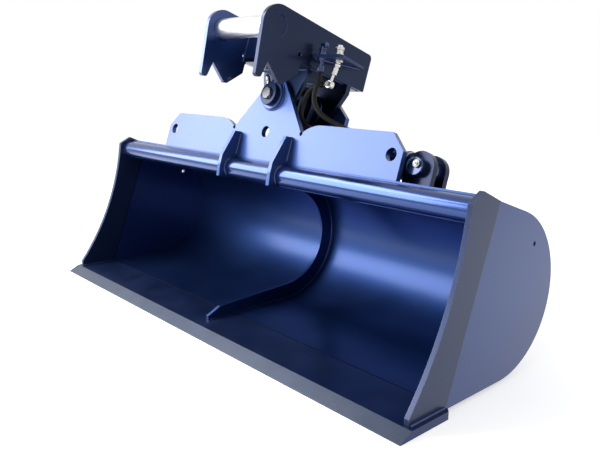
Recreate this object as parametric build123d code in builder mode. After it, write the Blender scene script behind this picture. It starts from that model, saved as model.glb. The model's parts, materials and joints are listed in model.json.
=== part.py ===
"""Tilting ditching bucket for a small excavator, in millimetres, Z up.

X runs along the cutting edge, Y runs rearwards from the cutting edge to the back of the shell.
The origin is on the ground, under the middle of the whole object.

The hanger, the tilting head and the ram are square to the sloping top sheet of the shell. They are
placed in a leaning frame at the tilt pivot: u runs along X, v runs rearwards along the pivot pin,
w runs up from the top sheet, and (0, 0, 0) is on the front face of the front hanger plate.
"""

import os
from math import acos, asin, atan2, cos, degrees, hypot, pi, radians, sin, tan

from build123d import *

os.makedirs("parts", exist_ok=True)

# Cutting edge
blade_length = 1500
blade_depth = 158
blade_thickness = 18
blade_bevel = 34
blade_lip = 2
blade_corner = 9

# Shell, rolled from one sheet
inner_half_width = 725
shell_wall = 6
shell_radius = 194
shell_axis_y = 354
top_sheet_slope = 19

# Side plates: a thick front strip butted to a thinner sheet
cutter_thickness = 12
side_sheet_thickness = 10
nose_y = 39.5
nose_height = 15
front_foot = (46.8, 25)
front_middle = (163.5, 231.7)
front_top = (210.6, 416.6)
top_lug_v = -13
top_lug_rise = 6
seam_top_v = 55
drain_hole = (461, 310)
drain_radius = 5.5

# Top tube and centre rib
tube_radius = 28.5
tube_wall = 5
rib_thickness = 10
rib_depth = 42
rib_foot = (73, 11)
rib_knee = (113, 30)

# Hanger plates
pivot_height = 182.6
hanger_set_back = 167.9
hanger_thickness = 15
hanger_half_width = 499.5
wing_end_height = 69.6
wing_height = 111
wing_chamfer = 42.5
wing_inner = 221
valley = (148, 84.6)
relief_radius = 6
tower_radius = 52
wing_hole = (467, 58.6)
sling_hole_radius = 16
centre_hole_height = 80.2
rear_hanger_front = 160
rear_hanger_half_width = 135
gusset_thickness = 12
gusset_offset = 113
gusset_height = 72.6
gusset_shoulder = (22, 69.6)
gusset_knee = 46
gusset_knee_drop = 7
gusset_toe = (41, 6)
gusset_tail = (6, 3)

# Tilt pivot
tilt_limit = 40
pivot_pin_radius = 25
pivot_nose_radius = 16
boss_radius = 41
boss_length = 10
collar_radius = 32
collar_length = 14
nipple_thread = (5.4, 6)
nipple_hex = (6.8, 7)
nipple_length = 28
nipple_cap = (5.5, 6)
keeper_depth = 6
keeper_thickness = 8
keeper_bolt_radius = 5
keeper_bolt_offset = 24
keeper_bolt_head = (8.5, 6.4)
fit_allowance = 0.1
running_gap = 0.05
face_gap = 0.3

# Tilting head
head_half_width = 126
head_plate = 12
head_floor = 80.5
head_rear = 210
head_front_foot = -174.5
head_front_top = -197.2
head_top_front = 195.6
head_top_rear = 187
head_corner = 12
hitch_pin_radius = 27.5
hitch_pin_v = -140.3
hitch_pin_w = 142.8
hook_radius = 52.5
pin_recess = 2
cross_plate_front = -50
cross_plate_top = 172
weep_hole = (-51.4, 98)
lock_plate_drop = 15
lock_hole = (70, 132)
lock_hole_radius = 20
web_thickness = 15
hub_radius = 45
hub_bore = 32
bush_length = 45
washer_thickness = 1.7

# Tilt ram and its two pins
ram_plane = 75
lug_thickness = 15
lug_gap = 32
base_pin_u = 520
base_pin_height = 43.6
base_lug_radius = 40
crank = 95
crank_lug_radius = 36
ram_pin_radius = 17.5
ram_pin_head = 21.5
ram_head_length = 18
base_keeper_size = (56, 12)
base_keeper_bolts = (21, 6, 5)
base_nipple_offset = 6
base_nipple_hex = (6.5, 6)
base_nipple_tip = (3.5, 6)
crank_collar = 13
rod_pin_head_length = 8
rod_pin_tail = 9
snap_ring = (22.5, 3)
eye_radius = 30
eye_bush_wall = 4.5
barrel_radius = 35
bore_radius = 27.5
rod_radius = 15
barrel_start = 46
end_cap_length = 12
barrel_end = 392
gland_length = 42
gland_flange = 10
wiper_length = 3
piston_length = 30
piston_rest = 142
port_stations = (100, 270)
port_angle = 45
port_boss_radius = 11
port_reach = 42
banjo_radius = 12
banjo_height = 14
port_bore_skin = 3
port_bolt_hex = (9, 7)
tail_radius = 5.5
tail_length = 34
ferrule_radius = 9
ferrule_length = 16

# Hydraulic couplers and hoses on the head
bracket_thickness = 8
bracket_front = -7
bracket_height = 106
bracket_reach = 100
bracket_run = 195
bracket_slope = 9.5
coupler_places = ((190, 27), (152, 3))
coupler_stem = 8
coupler_nut = (12, 7)
coupler_hex = (13, 8)
coupler_body = (11, 12)
coupler_sleeve = (13, 9)
coupler_tip = 7
banjo_place = (177, 30, 45)
union_radius = 4.5
union_ferrule = (27, 8, 18)
union_hex = (50, 9, 6)
union_banjo = (11, 14)
union_tail = (5, 18)
union_end_gap = 1.5
straight_union = (6, 14)
straight_ferrule_start = 10
straight_ferrule_length = 18
hose_radius = 7

# Derived places
lean = radians(top_sheet_slope)
floor_underside = blade_thickness - shell_wall
shell_axis_z = floor_underside + shell_radius
sheet_w = -pivot_height
along_v = Vector(0, cos(lean), -sin(lean))
along_w = Vector(0, sin(lean), cos(lean))
pivot_y = shell_axis_y - hanger_set_back * cos(lean) + (shell_radius + pivot_height) * sin(lean)
pivot_z = shell_axis_z + hanger_set_back * sin(lean) + (shell_radius + pivot_height) * cos(lean)
corner_v = head_rear - head_corner
corner_w = head_top_rear - head_corner
overall_depth = pivot_y + corner_v * cos(lean) + corner_w * sin(lean) + head_corner
edge_y = -overall_depth / 2
tube_w = sheet_w - shell_wall - tube_radius
ram_base_w = sheet_w + base_pin_height
ram_angle = atan2(-crank - ram_base_w, base_pin_u)
ram_length = hypot(base_pin_u, crank + ram_base_w)
lug_front = ram_plane - lug_gap / 2 - lug_thickness
lug_rear = ram_plane + lug_gap / 2
eye_width = lug_gap - 2 * face_gap
hub_front = hanger_thickness + washer_thickness + face_gap
hub_rear = rear_hanger_front - washer_thickness - face_gap
rear_hanger_back = rear_hanger_front + hanger_thickness
stop_distance = head_floor - 1


def leaning(u, v, w):
    """Place a point of the leaning frame in the object's own frame."""
    return Vector(u, edge_y + pivot_y, pivot_z) + along_v * v + along_w * w


def across(v):
    """Plane square to the pivot pin: local x is u, local y is w, facing the front."""
    return Plane(origin=leaning(0, v, 0), x_dir=(1, 0, 0), z_dir=-along_v)


def upright(u):
    """Plane square to X in the leaning frame: local x is v, local y is w."""
    return Plane(origin=leaning(u, 0, 0), x_dir=along_v, z_dir=(1, 0, 0))


def level(w):
    """Plane parallel to the top sheet: local x is u, local y is v."""
    return Plane(origin=leaning(0, 0, w), x_dir=(1, 0, 0), z_dir=along_w)


def profile(x):
    """Plane square to X: local x is the distance behind the cutting edge, local y is Z."""
    return Plane(origin=(x, edge_y, 0), x_dir=(0, 1, 0), z_dir=(1, 0, 0))


def section(v, w):
    """Give a point of the leaning frame in the local coordinates of a profile plane."""
    return (pivot_y + v * cos(lean) + w * sin(lean), pivot_z - v * sin(lean) + w * cos(lean))


def touch(radius, u, w):
    """Point where the line from (u, w) touches the upper side of a circle about the pivot."""
    angle = atan2(w, u) + acos(radius / hypot(u, w))
    return (radius * cos(angle), radius * sin(angle))


ram_along = Vector(-cos(ram_angle), 0, 0) + along_w * sin(ram_angle)
ram_up = Vector(sin(ram_angle), 0, 0) + along_w * cos(ram_angle)
ram_base = leaning(base_pin_u, ram_plane, ram_base_w)
port_out = ram_up * cos(radians(port_angle)) - along_v * sin(radians(port_angle))


def ram_station(distance):
    """Plane square to the ram at a distance from its base pin: local x is v."""
    return Plane(origin=ram_base + ram_along * distance, x_dir=along_v, z_dir=ram_along)


def port_plane(distance, reach):
    """Plane square to a hose port, at a reach from the centre line of the ram."""
    origin = ram_base + ram_along * distance + port_out * reach
    return Plane(origin=origin, x_dir=ram_along, z_dir=port_out)


def save(name, label):
    """Label a finished piece and write it."""
    name.part.label = label
    export_step(name.part, f"parts/{label}.step")


# Cutting edge: a flat bar, bevelled at the front, its rear corners clipped
with BuildPart() as cutting_edge:
    with BuildSketch(profile(-blade_length / 2)):
        with BuildLine():
            Polyline(
                (0, 0),
                (blade_depth, 0),
                (blade_depth, blade_thickness),
                (blade_bevel, blade_thickness),
                (0, blade_lip),
                close=True,
            )
        make_face()
    extrude(amount=blade_length)
    rear_corners = cutting_edge.edges().filter_by(Axis.Z).group_by(Axis.Y)[-1]
    chamfer(rear_corners, length=blade_corner)
save(cutting_edge, "cutting_edge")

# Shell: floor, rolled back and sloping top sheet, bent from one piece
shell_top_outer = section(hanger_set_back, sheet_w)
shell_top_inner = section(hanger_set_back, sheet_w - shell_wall)
shell_axis = (shell_axis_y, shell_axis_z)
shell_inner_radius = shell_radius - shell_wall
with BuildPart() as bucket_shell:
    with BuildSketch(profile(-inner_half_width)):
        with BuildLine():
            Line((blade_depth, floor_underside), (shell_axis_y, floor_underside))
            CenterArc(shell_axis, shell_radius, -90, 180 - top_sheet_slope)
            Line(shell_top_outer, section(0, sheet_w))
            Line(section(0, sheet_w), section(0, sheet_w - shell_wall))
            Line(section(0, sheet_w - shell_wall), shell_top_inner)
            CenterArc(shell_axis, shell_inner_radius, -90, 180 - top_sheet_slope)
            Line((shell_axis_y, blade_thickness), (blade_depth, blade_thickness))
            Line((blade_depth, blade_thickness), (blade_depth, floor_underside))
        make_face()
    extrude(amount=2 * inner_half_width)
save(bucket_shell, "bucket_shell")

# Side plates: the thick cutter strip follows a hollow front edge, the thinner sheet the shell
for side, sign in (("left", -1), ("right", 1)):
    cutter_x = sign * inner_half_width if sign > 0 else -inner_half_width - cutter_thickness
    with BuildPart() as side_cutter:
        with BuildSketch(profile(cutter_x)):
            with BuildLine():
                foot = (front_foot[0], blade_thickness + front_foot[1])
                middle = (front_middle[0], blade_thickness + front_middle[1])
                crest = (front_top[0], blade_thickness + front_top[1])
                Line((blade_depth, blade_thickness), (nose_y, blade_thickness))
                Line((nose_y, blade_thickness), (nose_y, blade_thickness + nose_height))
                Line((nose_y, blade_thickness + nose_height), foot)
                ThreePointArc(foot, middle, crest)
                Line(crest, section(top_lug_v, sheet_w + top_lug_rise))
                Line(section(top_lug_v, sheet_w + top_lug_rise), section(seam_top_v, sheet_w))
                Line(section(seam_top_v, sheet_w), (blade_depth, blade_thickness))
            make_face()
        extrude(amount=cutter_thickness)
    save(side_cutter, f"side_cutter_{side}")

    sheet_x = sign * inner_half_width if sign > 0 else -inner_half_width - side_sheet_thickness
    with BuildPart() as side_sheet:
        with BuildSketch(profile(sheet_x)):
            with BuildLine():
                Line((blade_depth, blade_thickness), (blade_depth, floor_underside))
                Line((blade_depth, floor_underside), (shell_axis_y, floor_underside))
                CenterArc(shell_axis, shell_radius, -90, 180 - top_sheet_slope)
                Line(shell_top_outer, section(seam_top_v, sheet_w))
                Line(section(seam_top_v, sheet_w), (blade_depth, blade_thickness))
            make_face()
            with Locations(drain_hole):
                Circle(drain_radius, mode=Mode.SUBTRACT)
        extrude(amount=side_sheet_thickness)
    save(side_sheet, f"side_sheet_{side}")

# Top tube: stiffens the mouth under the front edge of the top sheet
with BuildPart() as top_tube:
    with BuildSketch(profile(-inner_half_width)):
        with Locations(section(0, tube_w)):
            Circle(tube_radius)
            Circle(tube_radius - tube_wall, mode=Mode.SUBTRACT)
    extrude(amount=2 * inner_half_width)
save(top_tube, "top_tube")

# Centre rib: a crescent plate that follows the inside of the shell from the tube to the blade
rib_radius = shell_inner_radius - rib_depth
tube_tail = section(tube_radius * sin(radians(12)), tube_w - tube_radius * cos(radians(12)))
with BuildPart() as centre_rib:
    with BuildSketch(profile(-rib_thickness / 2)):
        with BuildLine():
            Line((rib_foot[0], blade_thickness), (shell_axis_y, blade_thickness))
            CenterArc(shell_axis, shell_inner_radius, -90, 180 - top_sheet_slope)
            Line(shell_top_inner, section(0, sheet_w - shell_wall))
            Line(section(0, sheet_w - shell_wall), tube_tail)
            Line(tube_tail, section(hanger_set_back, sheet_w - shell_wall - rib_depth))
            CenterArc(shell_axis, rib_radius, -90, 180 - top_sheet_slope)
            Polyline(
                (shell_axis_y, blade_thickness + rib_depth),
                (rib_knee[0], blade_thickness + rib_knee[1]),
                (rib_foot[0], blade_thickness + rib_foot[1]),
                (rib_foot[0], blade_thickness),
            )
        make_face()
        with Locations(section(0, tube_w)):
            Circle(tube_radius, mode=Mode.SUBTRACT)
    extrude(amount=rib_thickness)
save(centre_rib, "centre_rib")

# Front hanger plate: two wings with sling holes and a tower that carries the pivot pin
wing_top = sheet_w + wing_height
valley_point = (valley[0], sheet_w + valley[1])
wing_start = (wing_inner, wing_top)
tower_touch = touch(tower_radius, *valley_point)
with BuildPart() as hanger_front:
    with BuildSketch(across(hanger_thickness)):
        with BuildLine():
            Polyline(
                (0, sheet_w),
                (hanger_half_width, sheet_w),
                (hanger_half_width, sheet_w + wing_end_height),
                (hanger_half_width - wing_chamfer, wing_top),
                wing_start,
            )
            JernArc(
                start=wing_start,
                tangent=(-1, 0),
                radius=((wing_inner - valley[0]) ** 2 + (wing_height - valley[1]) ** 2)
                / (2 * (wing_height - valley[1])),
                arc_size=2
                * degrees(atan2(wing_height - valley[1], wing_inner - valley[0])),
            )
            Line(valley_point, tower_touch)
            Line(tower_touch, (0, 0))
            Line((0, 0), (0, sheet_w))
        make_face()
        mirror(about=Plane.YZ)
        Circle(tower_radius)
        with Locations(valley_point, (-valley_point[0], valley_point[1])):
            Circle(relief_radius, mode=Mode.SUBTRACT)
        with Locations((wing_hole[0], sheet_w + wing_hole[1]), (-wing_hole[0], sheet_w + wing_hole[1])):
            Circle(sling_hole_radius, mode=Mode.SUBTRACT)
        with Locations((0, sheet_w + centre_hole_height)):
            Circle(sling_hole_radius, mode=Mode.SUBTRACT)
        Circle(pivot_pin_radius, mode=Mode.SUBTRACT)
    extrude(amount=hanger_thickness)
save(hanger_front, "hanger_plate_front")

# Rear hanger plate: a shorter tower whose sloping shoulders stop the head at full tilt
stop = radians(tilt_limit)
shoulder_w = (stop_distance - rear_hanger_half_width * sin(stop)) / cos(stop)
crown_w = tower_radius + 4
crown_u = (stop_distance - crown_w * cos(stop)) / sin(stop)
with BuildPart() as hanger_rear:
    with BuildSketch(across(rear_hanger_back)):
        with BuildLine():
            Polyline(
                (-rear_hanger_half_width, sheet_w),
                (rear_hanger_half_width, sheet_w),
                (rear_hanger_half_width, shoulder_w),
                (crown_u, crown_w),
                (-crown_u, crown_w),
                (-rear_hanger_half_width, shoulder_w),
                close=True,
            )
        make_face()
        Circle(pivot_pin_radius, mode=Mode.SUBTRACT)
    extrude(amount=hanger_thickness)
save(hanger_rear, "hanger_plate_rear")

# Gussets: brace the front hanger plate down over the tube
for side, sign in (("left", -1), ("right", 1)):
    with BuildPart() as gusset:
        with BuildSketch(upright(sign * gusset_offset - gusset_thickness / 2)):
            with BuildLine():
                Polyline(
                    (0, sheet_w + gusset_height),
                    (-gusset_shoulder[0], sheet_w + gusset_shoulder[1]),
                    (-gusset_knee, sheet_w - gusset_knee_drop),
                    (-gusset_knee, tube_w),
                    (-gusset_toe[0], tube_w - tube_radius - gusset_toe[1]),
                    (-gusset_tail[0], tube_w - tube_radius - gusset_tail[1]),
                    (0, tube_w),
                    close=True,
                )
            make_face()
            with Locations((0, tube_w)):
                Circle(tube_radius, mode=Mode.SUBTRACT)
        extrude(amount=gusset_thickness)
    save(gusset, f"gusset_{side}")

# Pivot bosses: rings welded round the pin on the outer faces of both hanger plates
for end, start_v in (("front", 0), ("rear", rear_hanger_back + boss_length)):
    with BuildPart() as boss:
        with BuildSketch(across(start_v)):
            Circle(boss_radius)
            Circle(pivot_pin_radius, mode=Mode.SUBTRACT)
        extrude(amount=boss_length)
        outer_face = boss.faces().sort_by(Axis((0, 0, 0), along_v))[0 if end == "front" else -1]
        chamfer(outer_face.edges().sort_by(SortBy.LENGTH)[-1], length=2)
    save(boss, f"pivot_boss_{end}")

# Pivot pin: turned in two steps, the nose carries the collar, a slot at the tail the keeper
pin_tail = rear_hanger_back + boss_length + keeper_thickness + 4
keeper_v = rear_hanger_back + boss_length
with BuildPart() as pivot_pin:
    with BuildSketch(across(pin_tail)):
        Circle(pivot_pin_radius)
    extrude(amount=pin_tail + boss_length)
    with BuildSketch(across(-boss_length)):
        Circle(pivot_nose_radius)
    extrude(amount=collar_length + 2)
    with BuildSketch(across(keeper_v + keeper_thickness)):
        with Locations((0, pivot_pin_radius)):
            Rectangle(2 * pivot_pin_radius, 2 * keeper_depth)
    extrude(amount=keeper_thickness, mode=Mode.SUBTRACT)
    pin_ends = pivot_pin.faces().filter_by(Axis((0, 0, 0), along_v)).sort_by(Axis((0, 0, 0), along_v))
    chamfer(pin_ends[0].edges(), length=1.5)
    chamfer(pin_ends[-1].edges(), length=2)
save(pivot_pin, "pivot_pin")

# Collar on the nose of the pin, with a flat for the grease fitting
collar_middle = -boss_length - collar_length / 2
nipple_angle = radians(60)
nipple_radial = Vector(-cos(nipple_angle), 0, 0) + along_w * sin(nipple_angle)


def nipple_plane(reach):
    """Plane square to the grease fitting, at a reach from the pivot centre line."""
    origin = leaning(0, collar_middle, 0) + nipple_radial * reach
    return Plane(origin=origin, x_dir=along_v, z_dir=nipple_radial)


with BuildPart() as pivot_collar:
    with BuildSketch(across(-boss_length)):
        Circle(collar_radius)
        Circle(pivot_nose_radius, mode=Mode.SUBTRACT)
    extrude(amount=collar_length)
    collar_rims = pivot_collar.faces().sort_by(Axis((0, 0, 0), along_v))[0].edges()
    chamfer(collar_rims, length=1.5)
    with BuildSketch(nipple_plane(collar_radius - 4)):
        Rectangle(collar_length - 3, 16)
    extrude(amount=6, mode=Mode.SUBTRACT)
save(pivot_collar, "pivot_collar")

# Grease fitting: a plated body with a black cap, screwed into the flat on the collar
nipple_seat = collar_radius - 4
nipple_shoulder = nipple_seat + nipple_thread[1]
with BuildPart() as grease_fitting:
    with BuildSketch(nipple_plane(nipple_seat)):
        Circle(nipple_thread[0])
    extrude(amount=nipple_thread[1])
    with BuildSketch(nipple_plane(nipple_shoulder)):
        RegularPolygon(nipple_hex[0], 6)
    extrude(amount=nipple_hex[1])
    with BuildSketch(nipple_plane(nipple_shoulder + nipple_hex[1])):
        Circle(nipple_hex[0])
    extrude(amount=nipple_length - nipple_thread[1] - nipple_hex[1])
    chamfer(grease_fitting.faces().sort_by(Axis((0, 0, 0), nipple_radial))[-1].edges(), length=1)
save(grease_fitting, "pivot_grease_fitting")

with BuildPart() as grease_cap:
    with BuildSketch(nipple_plane(nipple_seat + nipple_length)):
        Circle(nipple_cap[0])
    extrude(amount=nipple_cap[1], taper=12)
save(grease_cap, "pivot_grease_cap")

# Keeper: a flat bar bolted to the rear boss, its edge in the slot of the pin
keeper_height = 20
keeper_length = 64
keeper_middle = pivot_pin_radius - keeper_depth + 2 * fit_allowance + keeper_height / 2
keeper_back = keeper_v + keeper_thickness - fit_allowance
keeper_holes = ((-keeper_bolt_offset, keeper_middle), (keeper_bolt_offset, keeper_middle))
with BuildPart() as keeper:
    with BuildSketch(across(keeper_back)):
        with Locations((0, keeper_middle)):
            Rectangle(keeper_length, keeper_height)
        with Locations(keeper_holes):
            Circle(keeper_bolt_radius, mode=Mode.SUBTRACT)
    extrude(amount=keeper_thickness - fit_allowance)
save(keeper, "pivot_keeper")

with BuildPart() as keeper_bolts:
    with BuildSketch(across(keeper_back)):
        with Locations(keeper_holes):
            Circle(keeper_bolt_radius - fit_allowance)
    extrude(amount=keeper_thickness - fit_allowance)
    with BuildSketch(across(keeper_back + keeper_bolt_head[1])):
        with Locations(keeper_holes):
            RegularPolygon(keeper_bolt_head[0], 6)
    extrude(amount=keeper_bolt_head[1])
save(keeper_bolts, "pivot_keeper_bolts")

# Thrust washers between the hub and the two hanger plates
with BuildPart() as washers:
    for back_v in (hanger_thickness + washer_thickness, rear_hanger_front):
        with BuildSketch(across(back_v)):
            Circle(hub_radius)
            Circle(pivot_pin_radius + running_gap, mode=Mode.SUBTRACT)
        extrude(amount=washer_thickness)
save(washers, "thrust_washers")

# Ram lugs on the top sheet
for end, front_v in (("front", lug_front), ("rear", lug_rear)):
    with BuildPart() as base_lug:
        with BuildSketch(across(front_v + lug_thickness)):
            with Locations((base_pin_u, ram_base_w)):
                Circle(base_lug_radius)
            with Locations((base_pin_u, (sheet_w + ram_base_w) / 2)):
                Rectangle(2 * base_lug_radius, base_pin_height)
            with Locations((base_pin_u, ram_base_w)):
                Circle(ram_pin_radius, mode=Mode.SUBTRACT)
        extrude(amount=lug_thickness)
    save(base_lug, f"ram_lug_{end}")

# Base pin of the ram: a headed pin, held at the back by a keeper like the pivot pin's
base_pin_tail = lug_rear + lug_thickness + keeper_thickness + 4
base_keeper_v = lug_rear + lug_thickness
with BuildPart() as base_pin:
    with BuildSketch(across(base_pin_tail)):
        with Locations((base_pin_u, ram_base_w)):
            Circle(ram_pin_radius)
    extrude(amount=base_pin_tail - lug_front)
    with BuildSketch(across(lug_front)):
        with Locations((base_pin_u, ram_base_w)):
            Circle(ram_pin_head)
    extrude(amount=ram_head_length)
    with BuildSketch(across(base_keeper_v + keeper_thickness)):
        with Locations((base_pin_u, ram_base_w + ram_pin_radius)):
            Rectangle(2 * ram_pin_radius, 2 * keeper_depth)
    extrude(amount=keeper_thickness, mode=Mode.SUBTRACT)
    head_face = base_pin.faces().sort_by(Axis((0, 0, 0), along_v))[0]
    chamfer(head_face.edges(), length=2)
save(base_pin, "ram_base_pin")

base_keeper_w = ram_base_w + ram_pin_radius - keeper_depth + 2 * fit_allowance + base_keeper_size[1] / 2
base_keeper_back = base_keeper_v + keeper_thickness - fit_allowance
base_bolt_offset, base_bolt_radius, base_bolt_height = base_keeper_bolts
with BuildPart() as base_keeper:
    with BuildSketch(across(base_keeper_back)):
        with Locations((base_pin_u, base_keeper_w)):
            Rectangle(*base_keeper_size)
    extrude(amount=keeper_thickness - fit_allowance)
    with BuildSketch(across(base_keeper_back + base_bolt_height)):
        for side in (-base_bolt_offset, base_bolt_offset):
            with Locations((base_pin_u + side, base_keeper_w)):
                RegularPolygon(base_bolt_radius, 6)
    extrude(amount=base_bolt_height)
save(base_keeper, "ram_base_keeper")

# Grease fitting in the head of the base pin
base_nipple_place = (base_pin_u + base_nipple_offset, ram_base_w + base_nipple_offset)
base_nipple_seat = lug_front - ram_head_length
with BuildPart() as base_nipple:
    with BuildSketch(across(base_nipple_seat)):
        with Locations(base_nipple_place):
            RegularPolygon(base_nipple_hex[0], 6)
    extrude(amount=base_nipple_hex[1])
    with BuildSketch(across(base_nipple_seat - base_nipple_hex[1])):
        with Locations(base_nipple_place):
            Circle(base_nipple_tip[0])
    extrude(amount=base_nipple_tip[1])
save(base_nipple, "ram_base_grease_fitting")

# Head side plates: rounded over the hitch pin, a pointed notch below it, a straight rear
lobe_rear = cross_plate_front + 8
notch = (-146.7, 46.3)
lobe_tip = (-91.5, 1.6)
lobe_shoulder = (lobe_rear, 50)
front_leg = (-156.5, 2)
front_toe = (head_front_foot, 1)
head_corners = (
    ((head_front_top, head_top_front), hook_radius),
    ((head_rear, head_top_rear), head_corner),
    ((head_rear, head_floor), 3),
    ((lobe_rear, head_floor), 7),
    (lobe_shoulder, 9),
    (lobe_tip, 12),
    (front_leg, 8),
    (front_toe, 8),
)
for side, sign in (("left", -1), ("right", 1)):
    plate_x = head_half_width - head_plate if sign > 0 else -head_half_width
    with BuildPart() as head_side:
        with BuildSketch(upright(plate_x)) as head_outline:
            with BuildLine():
                Polyline(
                    (head_front_top, head_top_front),
                    (head_rear, head_top_rear),
                    (head_rear, head_floor),
                    (lobe_rear, head_floor),
                    lobe_shoulder,
                    lobe_tip,
                    notch,
                    front_leg,
                    front_toe,
                    close=True,
                )
            make_face()
            for point, radius in head_corners:
                fillet(head_outline.vertices().sort_by_distance(point)[0], radius=radius)
            with Locations((hitch_pin_v, hitch_pin_w)):
                Circle(hitch_pin_radius, mode=Mode.SUBTRACT)
            with Locations(weep_hole):
                Circle(drain_radius, mode=Mode.SUBTRACT)
        extrude(amount=head_plate)
    save(head_side, f"head_side_plate_{side}")

# Hitch pin: a bright bar through both side plates, its ends set back for the welds
pin_half_length = head_half_width - pin_recess
with BuildPart() as hitch_pin:
    with BuildSketch(upright(-pin_half_length)):
        with Locations((hitch_pin_v, hitch_pin_w)):
            Circle(hitch_pin_radius)
    extrude(amount=2 * pin_half_length)
    chamfer(hitch_pin.edges().filter_by(GeomType.CIRCLE), length=1.5)
save(hitch_pin, "hitch_pin")

# Head floor, front cross plate and rear lock plate between the side plates
bay = head_half_width - head_plate
with BuildPart() as head_floor_plate:
    with BuildSketch(level(head_floor)):
        with Locations((0, (cross_plate_front + head_rear - 2) / 2)):
            Rectangle(2 * bay, head_rear - 2 - cross_plate_front)
    extrude(amount=head_plate)
save(head_floor_plate, "head_floor_plate")

with BuildPart() as cross_plate:
    with BuildSketch(across(cross_plate_front + head_plate)):
        with Locations((0, (head_floor + head_plate + cross_plate_top) / 2)):
            Rectangle(2 * bay, cross_plate_top - head_floor - head_plate)
    extrude(amount=head_plate)
save(cross_plate, "head_cross_plate")

lock_plate_top = head_top_rear - lock_plate_drop
with BuildPart() as lock_plate:
    with BuildSketch(across(head_rear - 2)):
        with Locations((0, (head_floor + head_plate + lock_plate_top) / 2)):
            Rectangle(2 * bay, lock_plate_top - head_floor - head_plate)
        with Locations(lock_hole, (-lock_hole[0], lock_hole[1])):
            Circle(lock_hole_radius, mode=Mode.SUBTRACT)
    extrude(amount=head_plate)
save(lock_plate, "head_lock_plate")

# Hub: a tube under the head floor, held by two webs, that turns on the pivot pin
with BuildPart() as hub_tube:
    with BuildSketch(across(hub_rear)):
        Circle(hub_radius)
        Circle(hub_bore, mode=Mode.SUBTRACT)
    extrude(amount=hub_rear - hub_front)
save(hub_tube, "hub_tube")

web_shapes = (
    ("front", hub_front + web_thickness, (92, head_floor), (92, 62), (66, 0)),
    ("rear", hub_rear, (head_half_width, head_floor), (head_half_width, 56), (88, -10)),
)
for end, back_v, top_corner, side_corner, low_corner in web_shapes:
    with BuildPart() as web:
        with BuildSketch(across(back_v)):
            with BuildLine():
                Polyline((0, 0), (0, head_floor), top_corner, side_corner, low_corner)
                lower_touch = (low_corner[0] * 0.42, -hub_radius - 9)
                Line(low_corner, lower_touch)
                Line(lower_touch, (0, 0))
            make_face()
            mirror(about=Plane.YZ)
            Circle(hub_radius + 12)
            Circle(hub_radius, mode=Mode.SUBTRACT)
        extrude(amount=web_thickness)
    save(web, f"head_web_{end}")

# Bushes pressed into both ends of the hub
for end, back_v in (("front", hub_front + bush_length), ("rear", hub_rear)):
    with BuildPart() as bush:
        with BuildSketch(across(back_v)):
            Circle(hub_bore)
            Circle(pivot_pin_radius + running_gap, mode=Mode.SUBTRACT)
        extrude(amount=bush_length)
    save(bush, f"pivot_bush_{end}")

# Crank plates: hang from the hub and take the rod end of the ram between them
plate_head = hub_radius + crank_collar
side_angle = asin((plate_head - crank_lug_radius) / crank)
hub_side = (plate_head * cos(side_angle), -plate_head * sin(side_angle))
eye_side = (crank_lug_radius * cos(side_angle), -crank - crank_lug_radius * sin(side_angle))
for end, front_v in (("front", lug_front), ("rear", lug_rear)):
    with BuildPart() as crank_plate:
        with BuildSketch(across(front_v + lug_thickness)):
            Circle(plate_head)
            with BuildLine():
                Polyline(
                    hub_side,
                    eye_side,
                    (-eye_side[0], eye_side[1]),
                    (-hub_side[0], hub_side[1]),
                    close=True,
                )
            make_face()
            with Locations((0, -crank)):
                Circle(crank_lug_radius)
                Circle(ram_pin_radius, mode=Mode.SUBTRACT)
            Circle(hub_radius, mode=Mode.SUBTRACT)
        extrude(amount=lug_thickness)
    save(crank_plate, f"crank_plate_{end}")

# Ends of the rod pin in the crank plates: headed in front, held by a snap ring behind
with BuildPart() as rod_pin_ends:
    with BuildSketch(across(lug_front + lug_thickness)):
        with Locations((0, -crank)):
            Circle(ram_pin_radius)
    extrude(amount=lug_thickness)
    with BuildSketch(across(lug_front)):
        with Locations((0, -crank)):
            Circle(ram_pin_head)
    extrude(amount=rod_pin_head_length)
    chamfer(rod_pin_ends.faces().sort_by(Axis((0, 0, 0), along_v))[0].edges(), length=1.5)
    with BuildSketch(across(lug_rear + lug_thickness + rod_pin_tail)):
        with Locations((0, -crank)):
            Circle(ram_pin_radius)
    extrude(amount=lug_thickness + rod_pin_tail)
    with BuildSketch(across(lug_rear + lug_thickness + 2 * snap_ring[1])):
        with Locations((0, -crank)):
            Circle(snap_ring[0])
    extrude(amount=snap_ring[1])
save(rod_pin_ends, "rod_pin_ends")

# Ram barrel: a tube closed by a cap, with two port bosses turned up and forwards
with BuildPart() as barrel:
    with BuildSketch(ram_station(barrel_start + end_cap_length)):
        Circle(barrel_radius)
        Circle(bore_radius, mode=Mode.SUBTRACT)
    extrude(amount=barrel_end - barrel_start - end_cap_length)
    for station in port_stations:
        with BuildSketch(port_plane(station, bore_radius + port_bore_skin)):
            Circle(port_boss_radius)
        extrude(amount=port_reach - bore_radius - port_bore_skin)
save(barrel, "ram_barrel")

# Ram base: end cap and eye, forged in one
with BuildPart() as ram_base_end:
    with BuildSketch(ram_station(barrel_start)):
        Circle(barrel_radius)
    extrude(amount=end_cap_length)
    with BuildSketch(across(ram_plane + eye_width / 2)):
        with Locations((base_pin_u, ram_base_w)):
            Circle(eye_radius)
        with Locations(Location((base_pin_u, ram_base_w, 0), (0, 0, -degrees(ram_angle)))):
            with Locations((-barrel_start / 2, 0)):
                Rectangle(barrel_start, 2 * eye_radius - 6)
        with Locations((base_pin_u, ram_base_w)):
            Circle(ram_pin_radius + eye_bush_wall, mode=Mode.SUBTRACT)
    extrude(amount=eye_width)
save(ram_base_end, "ram_base_eye")

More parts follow.
